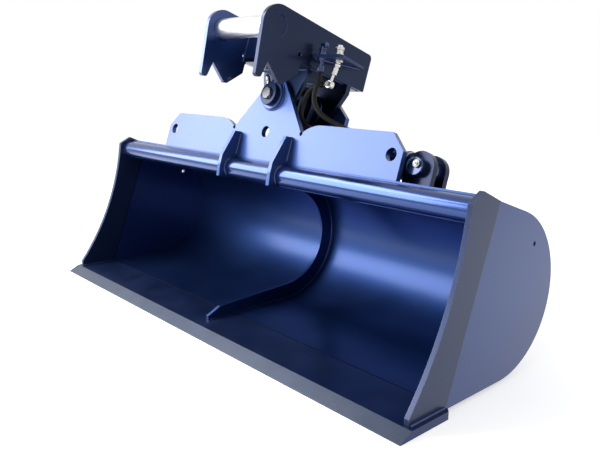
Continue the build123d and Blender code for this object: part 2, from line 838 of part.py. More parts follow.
# Bushes in the two eyes of the ram
eye_bush_outer = ram_pin_radius + eye_bush_wall
for name, place in (("ram_base", (base_pin_u, ram_base_w)), ("rod_eye", (0, -crank))):
    with BuildPart() as eye_bush:
        with BuildSketch(across(ram_plane + eye_width / 2)):
            with Locations(place):
                Circle(eye_bush_outer)
                Circle(ram_pin_radius + running_gap, mode=Mode.SUBTRACT)
        extrude(amount=eye_width)
    save(eye_bush, f"{name}_bush")

# Gland: screwed into the mouth of the barrel, its flange outside
with BuildPart() as gland:
    with BuildSketch(ram_station(barrel_end - gland_length)):
        Circle(bore_radius)
        Circle(rod_radius + running_gap, mode=Mode.SUBTRACT)
    extrude(amount=gland_length)
    with BuildSketch(ram_station(barrel_end)):
        Circle(barrel_radius - 1)
        Circle(rod_radius + running_gap, mode=Mode.SUBTRACT)
    extrude(amount=gland_flange)
    chamfer(gland.faces().sort_by(Axis((0, 0, 0), ram_along))[-1].edges().sort_by(SortBy.LENGTH)[-1], 2)
save(gland, "ram_gland")

with BuildPart() as wiper:
    with BuildSketch(ram_station(barrel_end + gland_flange)):
        Circle(rod_radius + 6)
        Circle(rod_radius + running_gap, mode=Mode.SUBTRACT)
    extrude(amount=wiper_length)
save(wiper, "ram_wiper")

# Port unions: banjo fittings with their bolts on the two port bosses
tail_reach = port_reach + banjo_height / 2
with BuildPart() as ram_unions:
    for station in port_stations:
        with BuildSketch(port_plane(station, port_reach)):
            Circle(banjo_radius)
        extrude(amount=banjo_height)
        with BuildSketch(port_plane(station, port_reach + banjo_height)):
            RegularPolygon(port_bolt_hex[0], 6)
        extrude(amount=port_bolt_hex[1])
        tail_start = ram_base + ram_along * station + port_out * tail_reach
        with BuildSketch(Plane(origin=tail_start, x_dir=port_out, z_dir=ram_along)):
            Circle(tail_radius)
        extrude(amount=tail_length)
        sleeve_start = tail_start + ram_along * (tail_length - ferrule_length)
        with BuildSketch(Plane(origin=sleeve_start, x_dir=port_out, z_dir=ram_along)):
            Circle(ferrule_radius)
        extrude(amount=ferrule_length)
save(ram_unions, "ram_port_unions")

# Rod: a chromed bar with its forged eye, and the piston on its inner end
rod_start = piston_rest + piston_length / 2
neck_length = 40
with BuildPart() as rod:
    with BuildSketch(ram_station(piston_rest - piston_length / 2)):
        Circle(rod_radius - 5)
    extrude(amount=piston_length)
    with BuildSketch(ram_station(rod_start)):
        Circle(rod_radius)
    extrude(amount=ram_length - neck_length - rod_start)
save(rod, "ram_rod")

with BuildPart() as rod_eye:
    with BuildSketch(ram_station(ram_length - neck_length)):
        Circle(eye_width / 2)
    extrude(amount=neck_length - eye_radius + 6)
    with BuildSketch(across(ram_plane + eye_width / 2)):
        with Locations((0, -crank)):
            Circle(eye_radius)
    extrude(amount=eye_width)
    with BuildSketch(across(ram_plane + eye_width)):
        with Locations((0, -crank)):
            Circle(eye_bush_outer)
    extrude(amount=2 * eye_width, mode=Mode.SUBTRACT)
save(rod_eye, "ram_rod_eye")

with BuildPart() as rod_pin:
    with BuildSketch(across(ram_plane + eye_width / 2)):
        with Locations((0, -crank)):
            Circle(ram_pin_radius)
    extrude(amount=eye_width)
save(rod_pin, "rod_pin_middle")

seal_depth = 4
seal_width = 6
piston_radius = bore_radius - running_gap
with BuildPart() as piston:
    with BuildSketch(ram_station(piston_rest - piston_length / 2)):
        Circle(piston_radius)
        Circle(rod_radius - 5, mode=Mode.SUBTRACT)
    extrude(amount=piston_length)
    with BuildSketch(ram_station(piston_rest - seal_width / 2)):
        Circle(piston_radius + 1)
        Circle(piston_radius - seal_depth, mode=Mode.SUBTRACT)
    extrude(amount=seal_width, mode=Mode.SUBTRACT)
save(piston, "ram_piston")

with BuildPart() as seal:
    with BuildSketch(ram_station(piston_rest - seal_width / 2)):
        Circle(piston_radius)
        Circle(piston_radius - seal_depth, mode=Mode.SUBTRACT)
    extrude(amount=seal_width)
save(seal, "ram_piston_seal")

# Coupler bracket: a three-cornered shelf welded to the outside of the right side plate
slope = radians(bracket_slope)
shelf_back = along_v * cos(slope) + along_w * sin(slope)
shelf_up = along_w * cos(slope) - along_v * sin(slope)
shelf_origin = leaning(0, bracket_front, bracket_height)
shelf = Plane(origin=shelf_origin, x_dir=(1, 0, 0), z_dir=shelf_up)
shelf_top = Plane(origin=shelf_origin + shelf_up * bracket_thickness, x_dir=(1, 0, 0), z_dir=shelf_up)
with BuildPart() as bracket:
    with BuildSketch(shelf):
        with BuildLine():
            Polyline(
                (head_half_width, 0),
                (head_half_width + bracket_reach, 0),
                (head_half_width + bracket_reach, 14),
                (head_half_width + 6, bracket_run),
                (head_half_width, bracket_run),
                close=True,
            )
        make_face()
        for u, v in coupler_places:
            with Locations((u, v - bracket_front)):
                Circle(coupler_stem, mode=Mode.SUBTRACT)
    extrude(amount=bracket_thickness)
save(bracket, "coupler_bracket")

# Quick couplers: through the shelf, with a nut below, a body, a sleeve and a tip above
for name, (u, v) in zip(("outer", "inner"), coupler_places):
    place = (u, v - bracket_front)
    steps = (
        (-coupler_nut[1], coupler_nut[0], coupler_nut[1], 6),
        (0, coupler_stem, bracket_thickness, 0),
        (bracket_thickness, coupler_hex[0], coupler_hex[1], 6),
        (bracket_thickness + coupler_hex[1], coupler_body[0], coupler_body[1], 0),
        (bracket_thickness + coupler_hex[1] + coupler_body[1], coupler_sleeve[0], coupler_sleeve[1], 0),
        (
            bracket_thickness + coupler_hex[1] + coupler_body[1] + coupler_sleeve[1],
            coupler_stem,
            coupler_tip,
            0,
        ),
    )
    with BuildPart() as coupler:
        for start, radius, height, corners in steps:
            with BuildSketch(shelf.offset(start)):
                with Locations(place):
                    if corners:
                        RegularPolygon(radius, corners)
                    else:
                        Circle(radius)
            extrude(amount=height)
    save(coupler, f"quick_coupler_{name}")


def nut_face(u, v):
    """Centre of the underside of a coupler's nut."""
    below = shelf_origin + Vector(u, 0, 0) + shelf_back * (v - bracket_front)
    return below - shelf_up * coupler_nut[1]


# Rigid union under the outer coupler: a tube, a ferrule and a banjo where its hose starts
banjo_centre = leaning(*banjo_place)
union_top = nut_face(*coupler_places[0])
union_along = (union_top - banjo_centre).normalized()
with BuildPart() as union_tube:
    with BuildSketch(Plane(origin=banjo_centre, x_dir=along_v, z_dir=union_along)):
        Circle(union_radius)
    extrude(amount=(union_top - banjo_centre).length - union_end_gap)
    ferrule_start = banjo_centre + union_along * union_ferrule[0]
    with BuildSketch(Plane(origin=ferrule_start, x_dir=along_v, z_dir=union_along)):
        Circle(union_ferrule[1])
    extrude(amount=union_ferrule[2])
    hex_start = banjo_centre + union_along * union_hex[0]
    with BuildSketch(Plane(origin=hex_start, x_dir=along_v, z_dir=union_along)):
        RegularPolygon(union_hex[1], 6)
    extrude(amount=union_hex[2])
    banjo_back = banjo_centre + along_v * (union_banjo[1] / 2)
    with BuildSketch(Plane(origin=banjo_back, x_dir=(1, 0, 0), z_dir=-along_v)):
        Circle(union_banjo[0])
    extrude(amount=union_banjo[1])
    with BuildSketch(Plane(origin=banjo_centre, x_dir=along_w, z_dir=(-1, 0, 0))):
        Circle(union_tail[0])
    extrude(amount=union_tail[1])
save(union_tube, "coupler_union_outer")

# Straight union under the inner coupler, with the ferrule of its hose
inner_top = nut_face(*coupler_places[1])
sleeve_top = inner_top - shelf_up * straight_ferrule_start
with BuildPart() as inner_union:
    with BuildSketch(Plane(origin=inner_top, x_dir=(1, 0, 0), z_dir=-shelf_up)):
        Circle(straight_union[0])
    extrude(amount=straight_union[1])
    with BuildSketch(Plane(origin=sleeve_top, x_dir=(1, 0, 0), z_dir=-shelf_up)):
        Circle(ferrule_radius)
    extrude(amount=straight_ferrule_length)
save(inner_union, "coupler_union_inner")

# Hoses: from the couplers on the head down to the two ports of the ram
banjo_side = banjo_centre + Vector(-union_tail[1], 0, 0)
gland_tail = ram_base + ram_along * (port_stations[1] + tail_length) + port_out * tail_reach
base_tail = ram_base + ram_along * (port_stations[0] + tail_length) + port_out * tail_reach
inner_end = sleeve_top - shelf_up * straight_ferrule_length
hose_routes = (
    (
        "gland",
        (
            banjo_side,
            banjo_side + Vector(-30, 0, 0),
            leaning(98, 33, 26),
            leaning(84, 36, -10),
            leaning(86, 38, -46),
            leaning(120, 40, -71),
            gland_tail + ram_along * 45,
            gland_tail,
        ),
    ),
    (
        "base",
        (
            inner_end,
            inner_end - shelf_up * 26,
            leaning(147, 11, 18),
            leaning(150, 17, -12),
            leaning(168, 32, -36),
            leaning(203, 54, -52),
            leaning(250, 70, -64),
            leaning(300, 68, -70),
            base_tail + ram_along * 42,
            base_tail,
        ),
    ),
)
for name, points in hose_routes:
    runs = [points[i + 1] - points[i] for i in range(len(points) - 1)]
    radii = []
    for before, after in zip(runs, runs[1:]):
        turn = radians(before.get_angle(after))
        radii.append(0.45 * min(before.length, after.length) / tan(turn / 2))
    with BuildPart() as hose:
        with BuildLine():
            FilletPolyline(*points, radius=radii)
        with BuildSketch(Plane(origin=points[0], z_dir=runs[0])):
            Circle(hose_radius)
        sweep()
    route = sum(run.length for run in runs)
    print(f"hose_{name}: radii {[round(r) for r in radii]}, runs {[round(r.length) for r in runs]},")
    print(f"  route {route:.0f} mm, solid {hose.part.volume / (pi * hose_radius**2):.0f} mm long")
    save(hose, f"hose_{name}")
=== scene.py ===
import json
from math import atan2, cos, pi, radians, sin

import bpy
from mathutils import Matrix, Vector


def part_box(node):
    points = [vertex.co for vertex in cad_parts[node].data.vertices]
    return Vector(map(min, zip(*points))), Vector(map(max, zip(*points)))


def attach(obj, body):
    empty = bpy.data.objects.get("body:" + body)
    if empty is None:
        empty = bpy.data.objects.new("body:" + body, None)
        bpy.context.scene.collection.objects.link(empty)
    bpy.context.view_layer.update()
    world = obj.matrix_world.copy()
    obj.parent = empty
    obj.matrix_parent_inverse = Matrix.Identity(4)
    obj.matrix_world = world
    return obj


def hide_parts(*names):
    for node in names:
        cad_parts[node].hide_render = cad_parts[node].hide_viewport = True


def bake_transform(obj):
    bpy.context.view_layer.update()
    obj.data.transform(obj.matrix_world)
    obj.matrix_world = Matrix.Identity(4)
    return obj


# A tilting ditching bucket of 1.5 m, welded from steel plate and painted metallic navy. Its hanger,
# head and ram stand square to the sloping top sheet, in a leaning frame at the tilt pivot: u runs
# along the cutting edge, v rearwards along the pivot pin, w up from the sheet. All is in metres.
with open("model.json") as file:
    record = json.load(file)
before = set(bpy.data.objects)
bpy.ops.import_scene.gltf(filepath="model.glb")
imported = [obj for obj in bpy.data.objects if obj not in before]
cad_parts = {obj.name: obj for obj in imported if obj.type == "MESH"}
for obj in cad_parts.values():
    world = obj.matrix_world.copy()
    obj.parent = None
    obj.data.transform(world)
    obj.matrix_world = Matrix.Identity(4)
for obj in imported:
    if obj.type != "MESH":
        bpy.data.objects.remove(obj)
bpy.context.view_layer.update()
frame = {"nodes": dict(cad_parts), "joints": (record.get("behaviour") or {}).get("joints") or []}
tilt_joint = next(joint for joint in frame["joints"] if joint["name"] == "tilt")
pivot = Vector(tilt_joint["pos_m"])
along_u = Vector((1, 0, 0))
along_v = Vector(tilt_joint["axis"])
along_w = Vector((0, -along_v.z, along_v.y))


def leaning(u, v, w):
    """A point of the leaning frame, in the object's own frame."""
    return pivot + along_u * u + along_v * v + along_w * w


# Camera: it stands to the right of the mouth, a little above the bucket's middle, and looks down by
# 13 degrees, as the photograph shows.
camera_data = bpy.data.cameras.new("camera")
camera_data.lens = 40.29
camera_data.sensor_width = 36
camera = bpy.data.objects.new("camera", camera_data)
camera.location = (1.4735, -1.1781, 0.688)
camera.rotation_euler = (radians(90 - 13.03), 0, radians(48.48))
bpy.context.scene.collection.objects.link(camera)
bpy.context.scene.camera = camera

# Hoses: two black rubber hoses of 14 mm with a cloth-marked cover, 0.28 and 0.36 m long. They run
# from the couplers on the head down to the ram's two ports. Each is a tube about a smooth spline.
hose_radius = 0.007
ram_base_u, ram_base_v, ram_base_w = 0.520, 0.075, -0.139
rod_pin_w = -0.095
ram_slope = atan2(rod_pin_w - ram_base_w, ram_base_u)
ram_base = leaning(ram_base_u, ram_base_v, ram_base_w)
ram_along = -along_u * cos(ram_slope) + along_w * sin(ram_slope)
ram_up = along_u * sin(ram_slope) + along_w * cos(ram_slope)
port_out = (ram_up - along_v) / 2**0.5
port_stations = (0.100, 0.270)
port_height, banjo_half = 0.042, 0.007
tail_reach = port_height + banjo_half
tail_length = 0.034
shelf_tilt = radians(9.5)
shelf_v, shelf_w, shelf_thickness = -0.007, 0.106, 0.008
shelf_back = along_v * cos(shelf_tilt) + along_w * sin(shelf_tilt)
shelf_up = along_w * cos(shelf_tilt) - along_v * sin(shelf_tilt)
shelf_front = leaning(0, shelf_v, shelf_w)
outer_place, inner_place = (0.190, 0.027), (0.152, 0.003)
lock_nut_height = 0.007
inner_union_length = 0.028


def shelf_point(u, v, rise):
    """A point over the coupler shelf, at a rise from its underside."""
    return shelf_front + along_u * u + shelf_back * (v - shelf_v) + shelf_up * rise


def smooth_line(points):
    """The points of the smooth spline that a hose follows."""
    curve = bpy.data.curves.new("hose line", "CURVE")
    curve.dimensions = "3D"
    curve.resolution_u = 24
    spline = curve.splines.new("NURBS")
    spline.points.add(len(points) - 1)
    for knot, point in zip(spline.points, points):
        knot.co = (*point, 1)
    spline.order_u = 3
    spline.use_endpoint_u = True
    holder = bpy.data.objects.new("hose line", curve)
    line = bpy.data.meshes.new_from_object(holder)
    path = [vertex.co.copy() for vertex in line.vertices]
    bpy.data.objects.remove(holder)
    return path


def make_piece(name, vertices, faces, body, material=None, sharp=radians(35)):
    """One mesh piece that rides on a body, smooth but for its sharp edges."""
    mesh = bpy.data.meshes.new(name)
    mesh.from_pydata(vertices, [], faces)
    mesh.shade_smooth()
    mesh.set_sharp_from_angle(angle=sharp)
    if material:
        mesh.materials.append(material)
    piece = bpy.data.objects.new(name, mesh)
    bpy.context.scene.collection.objects.link(piece)
    if body:
        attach(piece, body)
    return piece


def tube_faces(rings, around, first=0):
    """The faces of a closed tube, from rings of points that follow one another, capped at both ends."""
    faces = []
    for i in range(rings - 1):
        for k in range(around):
            a = first + i * around + k
            b = first + i * around + (k + 1) % around
            faces.append((a, b, b + around, a + around))
    last = first + (rings - 1) * around
    faces.append(tuple(range(first + around - 1, first - 1, -1)))
    faces.append(tuple(range(last, last + around)))
    return faces


def swept_rings(path, side):
    """Along a path, each point's two directions square to it, the first kept nearest to side."""
    frames = []
    for i, point in enumerate(path):
        ahead = path[min(i + 1, len(path) - 1)] - path[max(i - 1, 0)]
        ahead.normalize()
        side = (side - ahead * side.dot(ahead)).normalized()
        frames.append((point, side, ahead.cross(side)))
    return frames


def hose_mesh(name, path):
    """A closed rubber tube along a path, with its run along and round it kept as a texture map."""
    around = 20
    vertices = []
    for point, side, other in swept_rings(path, along_v):
        for k in range(around):
            turn = 2 * pi * k / around
            vertices.append(point + (side * cos(turn) + other * sin(turn)) * hose_radius)
    hose = make_piece(name, vertices, tube_faces(len(path), around), None)
    walked = [0]
    for before, after in zip(path, path[1:]):
        walked.append(walked[-1] + (after - before).length)
    layer = hose.data.uv_layers.new(name="cover")
    for polygon in hose.data.polygons:
        ring = [hose.data.loops[i].vertex_index for i in polygon.loop_indices]
        wraps = len(ring) == 4 and any(v % around == around - 1 for v in ring)
        for i, v in zip(polygon.loop_indices, ring):
            k = v % around
            k += around if wraps and k == 0 else 0
            layer.data[i].uv = (k / around * 2 * pi * hose_radius, walked[v // around])
    return hose


banjo_centre = leaning(0.177, 0.030, 0.045)
banjo_side = banjo_centre - along_u * 0.018
inner_end = shelf_point(*inner_place, -lock_nut_height - inner_union_length)
base_tail, gland_tail = (
    ram_base + ram_along * (station + tail_length) + port_out * tail_reach
    for station in port_stations
)
gland_route = (
    banjo_side,
    banjo_side - along_u * 0.030,
    leaning(0.098, 0.033, 0.026),
    leaning(0.084, 0.036, -0.010),
    leaning(0.086, 0.038, -0.046),
    leaning(0.120, 0.040, -0.071),
    gland_tail + ram_along * 0.045,
    gland_tail,
)
base_route = (
    inner_end,
    inner_end - shelf_up * 0.026,
    leaning(0.147, 0.011, 0.018),
    leaning(0.150, 0.017, -0.012),
    leaning(0.168, 0.032, -0.036),
    leaning(0.203, 0.054, -0.052),
    leaning(0.250, 0.070, -0.064),
    leaning(0.300, 0.068, -0.070),
    base_tail + ram_along * 0.042,
    base_tail,
)
gland_bend = (banjo_side, leaning(0.150, 0.040, -0.080))
base_bend = (inner_end, leaning(0.235, 0.065, -0.060))
hoses = {}
for port, route, bend in (("gland", gland_route, gland_bend), ("base", base_route, base_bend)):
    line = smooth_line(route)
    hose = hose_mesh(f"rubber_hose_{port}", line)
    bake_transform(hose)
    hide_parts(f"hose_{port}")
    hoses[port] = hose


# Paint: a deep navy with fine metal flakes under clear lacquer. It lies over every weld, rounds the
# cut edges of the plates and lightens them with a painted highlight, and has the faint orange peel of
# sprayed machine paint.
def node_group(name, inputs, outputs):
    """An empty shader group with named sockets, and its two end nodes."""
    tree = bpy.data.node_groups.new(name, "ShaderNodeTree")
    for label, kind, value in inputs:
        socket = tree.interface.new_socket(label, in_out="INPUT", socket_type=f"NodeSocket{kind}")
        socket.default_value = value
    for label, kind in outputs:
        tree.interface.new_socket(label, in_out="OUTPUT", socket_type=f"NodeSocket{kind}")
    return tree, tree.nodes.new("NodeGroupInput"), tree.nodes.new("NodeGroupOutput")


def add(tree, kind, settings=None, **sockets):
    """A node with its settings, and its sockets set or joined by name or number."""
    node = tree.nodes.new(f"ShaderNode{kind}")
    for key, value in (settings or {}).items():
        setattr(node, key, value)
    for key, value in sockets.items():
        key = int(key[1:]) if key[0] == "_" else key.replace("_", " ")
        if isinstance(value, bpy.types.NodeSocket):
            tree.links.new(value, node.inputs[key])
        else:
            node.inputs[key].default_value = value
    return node


def rounded_edge_group():
    """Rounds edges in the shading, and gives a broken mask where they stand out, for the painted
    highlight on them.
    """
    tree, start, end = node_group(
        "rounded edges",
        (("Radius", "Float", 0.001), ("Break up", "Float", 300.0)),
        (("Normal", "Vector"), ("Edge", "Float")),
    )
    bevel = add(tree, "Bevel", {"samples": 6}, Radius=start.outputs["Radius"])
    true_normal = add(tree, "NewGeometry")
    match = add(
        tree, "VectorMath", {"operation": "DOT_PRODUCT"},
        _0=bevel.outputs[0], _1=true_normal.outputs["Normal"],
    )
    turned = add(tree, "MapRange", From_Min=0.995, From_Max=0.80, _0=match.outputs["Value"])
    place = add(tree, "TexCoord")
    specks = add(
        tree, "TexNoise",
        Vector=place.outputs["Object"], Scale=start.outputs["Break up"], Detail=3.0,
    )
    sure = add(tree, "MapRange", From_Min=0.40, From_Max=0.62, _0=specks.outputs[0])
    edge = add(tree, "Math", {"operation": "MULTIPLY"}, _0=turned.outputs[0], _1=sure.outputs[0])
    tree.links.new(bevel.outputs[0], end.inputs["Normal"])
    tree.links.new(edge.outputs[0], end.inputs["Edge"])
    return tree


def grain_group():
    """Cloudy and fine grain in one, from 0 to 1, with the fine grain also as a height."""
    tree, start, end = node_group(
        "surface grain",
        (("Cloud scale", "Float", 6.0), ("Grain scale", "Float", 900.0), ("Grain share", "Float", 0.4)),
        (("Value", "Float"), ("Height", "Float")),
    )
    place = add(tree, "TexCoord")
    cloud = add(
        tree, "TexNoise",
        Vector=place.outputs["Object"], Scale=start.outputs["Cloud scale"], Detail=4.0,
    )
    fine = add(
        tree, "TexNoise",
        Vector=place.outputs["Object"], Scale=start.outputs["Grain scale"], Detail=2.0,
    )
    both = add(
        tree, "Mix", Factor=start.outputs["Grain share"], _2=cloud.outputs[0], _3=fine.outputs[0]
    )
    spread = add(tree, "MapRange", From_Min=0.3, From_Max=0.7, _0=both.outputs[0])
    tree.links.new(spread.outputs[0], end.inputs["Value"])
    tree.links.new(fine.outputs[0], end.inputs["Height"])
    return tree


def dust_group():
    """Thin dust that settles on faces that look up, more in some places than in others."""
    tree, start, end = node_group(
        "settled dust", (("Patch scale", "Float", 9.0), ("Amount", "Float", 0.1)), (("Dust", "Float"),)
    )
    place = add(tree, "TexCoord")
    true_normal = add(tree, "NewGeometry")
    up = add(tree, "SeparateXYZ", Vector=true_normal.outputs["Normal"])
    facing = add(tree, "MapRange", From_Min=0.35, From_Max=1.0, _0=up.outputs["Z"])
    patches = add(
        tree, "TexNoise",
        Vector=place.outputs["Object"], Scale=start.outputs["Patch scale"], Detail=6.0,
    )
    patchy = add(tree, "MapRange", From_Min=0.42, From_Max=0.72, _0=patches.outputs[0])
    settled = add(tree, "Math", {"operation": "MULTIPLY"}, _0=facing.outputs[0], _1=patchy.outputs[0])
    scaled = add(
        tree, "Math", {"operation": "MULTIPLY"}, _0=settled.outputs[0], _1=start.outputs["Amount"]
    )
    tree.links.new(scaled.outputs[0], end.inputs["Dust"])
    return tree


rounded_edges, surface_grain, settled_dust = rounded_edge_group(), grain_group(), dust_group()
dust_colour = (0.32, 0.31, 0.29, 1)


def metal_finish(
    name, dark, light, rough, metallic=1.0, edge_radius=0.0008, edge_highlight_colour=None, edge_highlight_amount=0.35,
    clouds=6.0, grain=900.0, grain_share=0.4, grain_depth=0.00002, dust=0.0, coat=0.0, coat_rough=0.1,
):
    """A painted or bare metal with grain, rounded edges with a painted highlight along them, and a
    little dust.
    """
    material = bpy.data.materials.new(name)
    material.use_nodes = True
    tree = material.node_tree
    shader = tree.nodes["Principled BSDF"]
    edges = add(tree, "Group", {"node_tree": rounded_edges}, Radius=edge_radius)
    texture = add(
        tree, "Group", {"node_tree": surface_grain},
        Cloud_scale=clouds, Grain_scale=grain, Grain_share=grain_share,
    )
    colour = add(
        tree, "Mix", {"data_type": "RGBA"},
        Factor=texture.outputs["Value"], _6=(*dark, 1), _7=(*light, 1),
    )
    # Painted highlight: along the rounded edges the colour is mixed toward a lighter one, as if the
    # edges caught the lamps.
    share = add(tree, "Math", {"operation": "MULTIPLY"}, _0=edges.outputs["Edge"], _1=edge_highlight_amount)
    edge_highlighted = add(
        tree, "Mix", {"data_type": "RGBA"},
        Factor=share.outputs[0], _6=colour.outputs[2], _7=(*(edge_highlight_colour or light), 1),
    )
    film = add(tree, "Group", {"node_tree": settled_dust}, Amount=dust)
    dusty = add(
        tree, "Mix", {"data_type": "RGBA"},
        Factor=film.outputs["Dust"], _6=edge_highlighted.outputs[2], _7=dust_colour,
    )
    roughness = add(tree, "MapRange", _0=texture.outputs["Value"], To_Min=rough[0], To_Max=rough[1])
    dull = add(
        tree, "Math", {"operation": "ADD", "use_clamp": True},
        _0=roughness.outputs[0], _1=film.outputs["Dust"],
    )
    relief = add(
        tree, "Bump",
        Height=texture.outputs["Height"], Distance=grain_depth, Normal=edges.outputs["Normal"],
    )
    for source, socket in (
        (dusty.outputs[2], "Base Color"), (dull.outputs[0], "Roughness"), (relief.outputs[0], "Normal")
    ):
        tree.links.new(source, shader.inputs[socket])
    shader.inputs["Metallic"].default_value = metallic
    shader.inputs["Coat Weight"].default_value = coat
    shader.inputs["Coat Roughness"].default_value = coat_rough
    return material


def dress(material, *nodes):
    """Gives carried-over nodes their finish."""
    for name in nodes:
        mesh = frame["nodes"][name].data
        mesh.materials.clear()
        mesh.materials.append(material)


navy_paint = metal_finish(
    "navy lacquer", (0.014, 0.040, 0.160), (0.020, 0.054, 0.200), (0.33, 0.41), metallic=0.86,
    edge_radius=0.0012, edge_highlight_colour=(0.06, 0.11, 0.27), clouds=3.0, grain=420.0, grain_share=0.25,
    grain_depth=0.00004, dust=0.05, coat=0.8, coat_rough=0.12,
)

# Shell: the floor, the rolled back and the sloping top sheet are one 6 mm sheet. The cutting edge is
# an 18 mm bar, bevelled in front and duller than the shell. Strips of 12 mm edge the side sheets.
edge_paint = metal_finish(
    "navy lacquer on the edge bar", (0.010, 0.026, 0.100), (0.018, 0.040, 0.140), (0.36, 0.50),
    metallic=0.9, edge_radius=0.0014, edge_highlight_colour=(0.10, 0.13, 0.20), clouds=14.0, grain=260.0,
    grain_share=0.5, grain_depth=0.00008, dust=0.03, coat=0.4, coat_rough=0.22,
)
# The strips' lacquer is darker and greyer than the side sheets', with a strong painted highlight along
# their rounded edges.
strip_paint = metal_finish(
    "navy lacquer on the side strips", (0.011, 0.023, 0.072), (0.017, 0.034, 0.100), (0.36, 0.46),
    metallic=0.85, edge_radius=0.0020, edge_highlight_colour=(0.12, 0.20, 0.44), edge_highlight_amount=0.8, clouds=10.0,
    grain=300.0, grain_share=0.4, grain_depth=0.00006, dust=0.05, coat=0.6, coat_rough=0.2,
)
shell_paint = metal_finish(
    "navy lacquer inside the shell", (0.010, 0.034, 0.135), (0.016, 0.050, 0.190), (0.34, 0.43),
    metallic=0.92, edge_radius=0.0012, edge_highlight_colour=(0.06, 0.11, 0.27), clouds=2.4, grain=420.0,
    grain_share=0.2, grain_depth=0.00004, dust=0.02, coat=0.35, coat_rough=0.22,
)
tube_paint = metal_finish(
    "navy lacquer on the tube", (0.018, 0.048, 0.175), (0.024, 0.060, 0.215), (0.20, 0.26),
    metallic=0.86, edge_radius=0.0012, edge_highlight_colour=(0.06, 0.11, 0.27), clouds=3.0, grain=420.0,
    grain_share=0.25, grain_depth=0.00003, dust=0.03, coat=0.5, coat_rough=0.12,
)
# Painted light: the bar's faces that look forward take a lighter, greyer copy of its lacquer, as if lit
# by the lamp ahead.
lit_bevel_paint = metal_finish(
    "navy lacquer on the bevel, painted lighter as if lit", (0.030, 0.042, 0.076), (0.048, 0.064, 0.108), (0.38, 0.50),
    metallic=0.8, edge_radius=0.0012, edge_highlight_colour=(0.16, 0.19, 0.26), clouds=14.0, grain=260.0,
    grain_share=0.5, grain_depth=0.00008, dust=0.05, coat=0.4, coat_rough=0.25,
)
dress(shell_paint, "bucket_shell", "centre_rib")
dress(navy_paint, "side_sheet_left", "side_sheet_right")
dress(tube_paint, "top_tube")
dress(edge_paint, "cutting_edge")
edge_mesh = frame["nodes"]["cutting_edge"].data
edge_mesh.materials.append(lit_bevel_paint)
# The faces that look forward get the lighter copy, as painted light.
for polygon in edge_mesh.polygons:
    if polygon.normal.y < -0.2:
        polygon.material_index = 1
dress(strip_paint, "side_cutter_left", "side_cutter_right")


# Welds on the shell: hand-laid beads with a fine scale, under the paint. They close the tube, the
# side plates, the rib and the edge bar onto the sheet.
class Beads:
    """Weld beads of one group, gathered into a single mesh."""

    pitch = 0.0042
    sides = 8

    def __init__(self):
        self.vertices, self.faces = [], []

    def lay(self, corners, leg, side=along_w):
        """One bead along corners, a leg wide, half sunk in the joint that it fills."""
        path = [Vector(corners[0])]
        for before, after in zip(corners, corners[1:]):
            steps = max(1, round((after - before).length / (self.pitch / 2)))
            path += [before.lerp(after, i / steps) for i in range(1, steps + 1)]
        first = len(self.vertices)
        self.faces += tube_faces(len(path), self.sides, first)
        for i, (point, one, other) in enumerate(swept_rings(path, side)):
            wander = 0.05 * sin(i * 0.37) + 0.04 * sin(i * 0.113 + 1.7)
            swell = leg * (0.90 + (0.09 if i % 2 else -0.05) + wander)
            swell *= 0.55 if i in (0, len(path) - 1) else 1
            for k in range(self.sides):
                turn = 2 * pi * (k + 0.5) / self.sides
                self.vertices.append(point + (one * cos(turn) + other * sin(turn)) * swell)

    def ring(self, centre, axis, radius, leg):
        """A round bead about an axis."""
        one = axis.orthogonal().normalized() if abs(axis.dot(along_u)) > 0.9 else along_u
        other = axis.cross(one).normalized()
        count = max(8, round(2 * pi * radius / self.pitch * 2))
        turns = [radians(360 * i / count) for i in range(count + 1)]
        self.lay([centre + (one * cos(t) + other * sin(t)) * radius for t in turns], leg, axis)

    def finish(self, name, body, material):
        """The gathered beads as one piece on a body."""
        piece = make_piece(name, self.vertices, self.faces, body, material, sharp=radians(80))
        return piece


weld_paint = metal_finish(
    "navy lacquer over weld scale", (0.010, 0.030, 0.120), (0.018, 0.048, 0.180), (0.34, 0.46),
    metallic=0.8, edge_radius=0.0004, clouds=60.0, grain=1400.0, grain_share=0.6,
    grain_depth=0.00010, dust=0.05, coat=0.7, coat_rough=0.15,
)
shell_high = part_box("bucket_shell")[1]
edge_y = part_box("cutting_edge")[0].y
half_inside = shell_high.x
strip_thickness, side_sheet_thickness, rib_half = 0.012, 0.010, 0.005
strip_top_v = 0.055
blade_depth, blade_thickness, blade_nose = 0.158, 0.018, 0.0395
shell_axis = Vector((0, edge_y + 0.354, 0.206))
inner_radius = 0.188
sheet_w, sheet_thickness = -0.1826, 0.006
tube_radius = 0.0285
tube_w = sheet_w - sheet_thickness - tube_radius
top_slope = atan2(-along_v.z, along_v.y)


def shell_inside(x, floor_from):
    """The inner line of the shell at one x, from a place on the floor round to the top sheet."""
    line = [Vector((x, edge_y + floor_from, shell_axis.z - inner_radius))]
    steps = 40
    for i in range(steps + 1):
        turn = -pi / 2 + (pi - top_slope) * i / steps
        y = shell_axis.y + inner_radius * cos(turn)
        line.append(Vector((x, y, shell_axis.z + inner_radius * sin(turn))))
    line.append(leaning(x, 0.010, sheet_w - sheet_thickness))
    return line


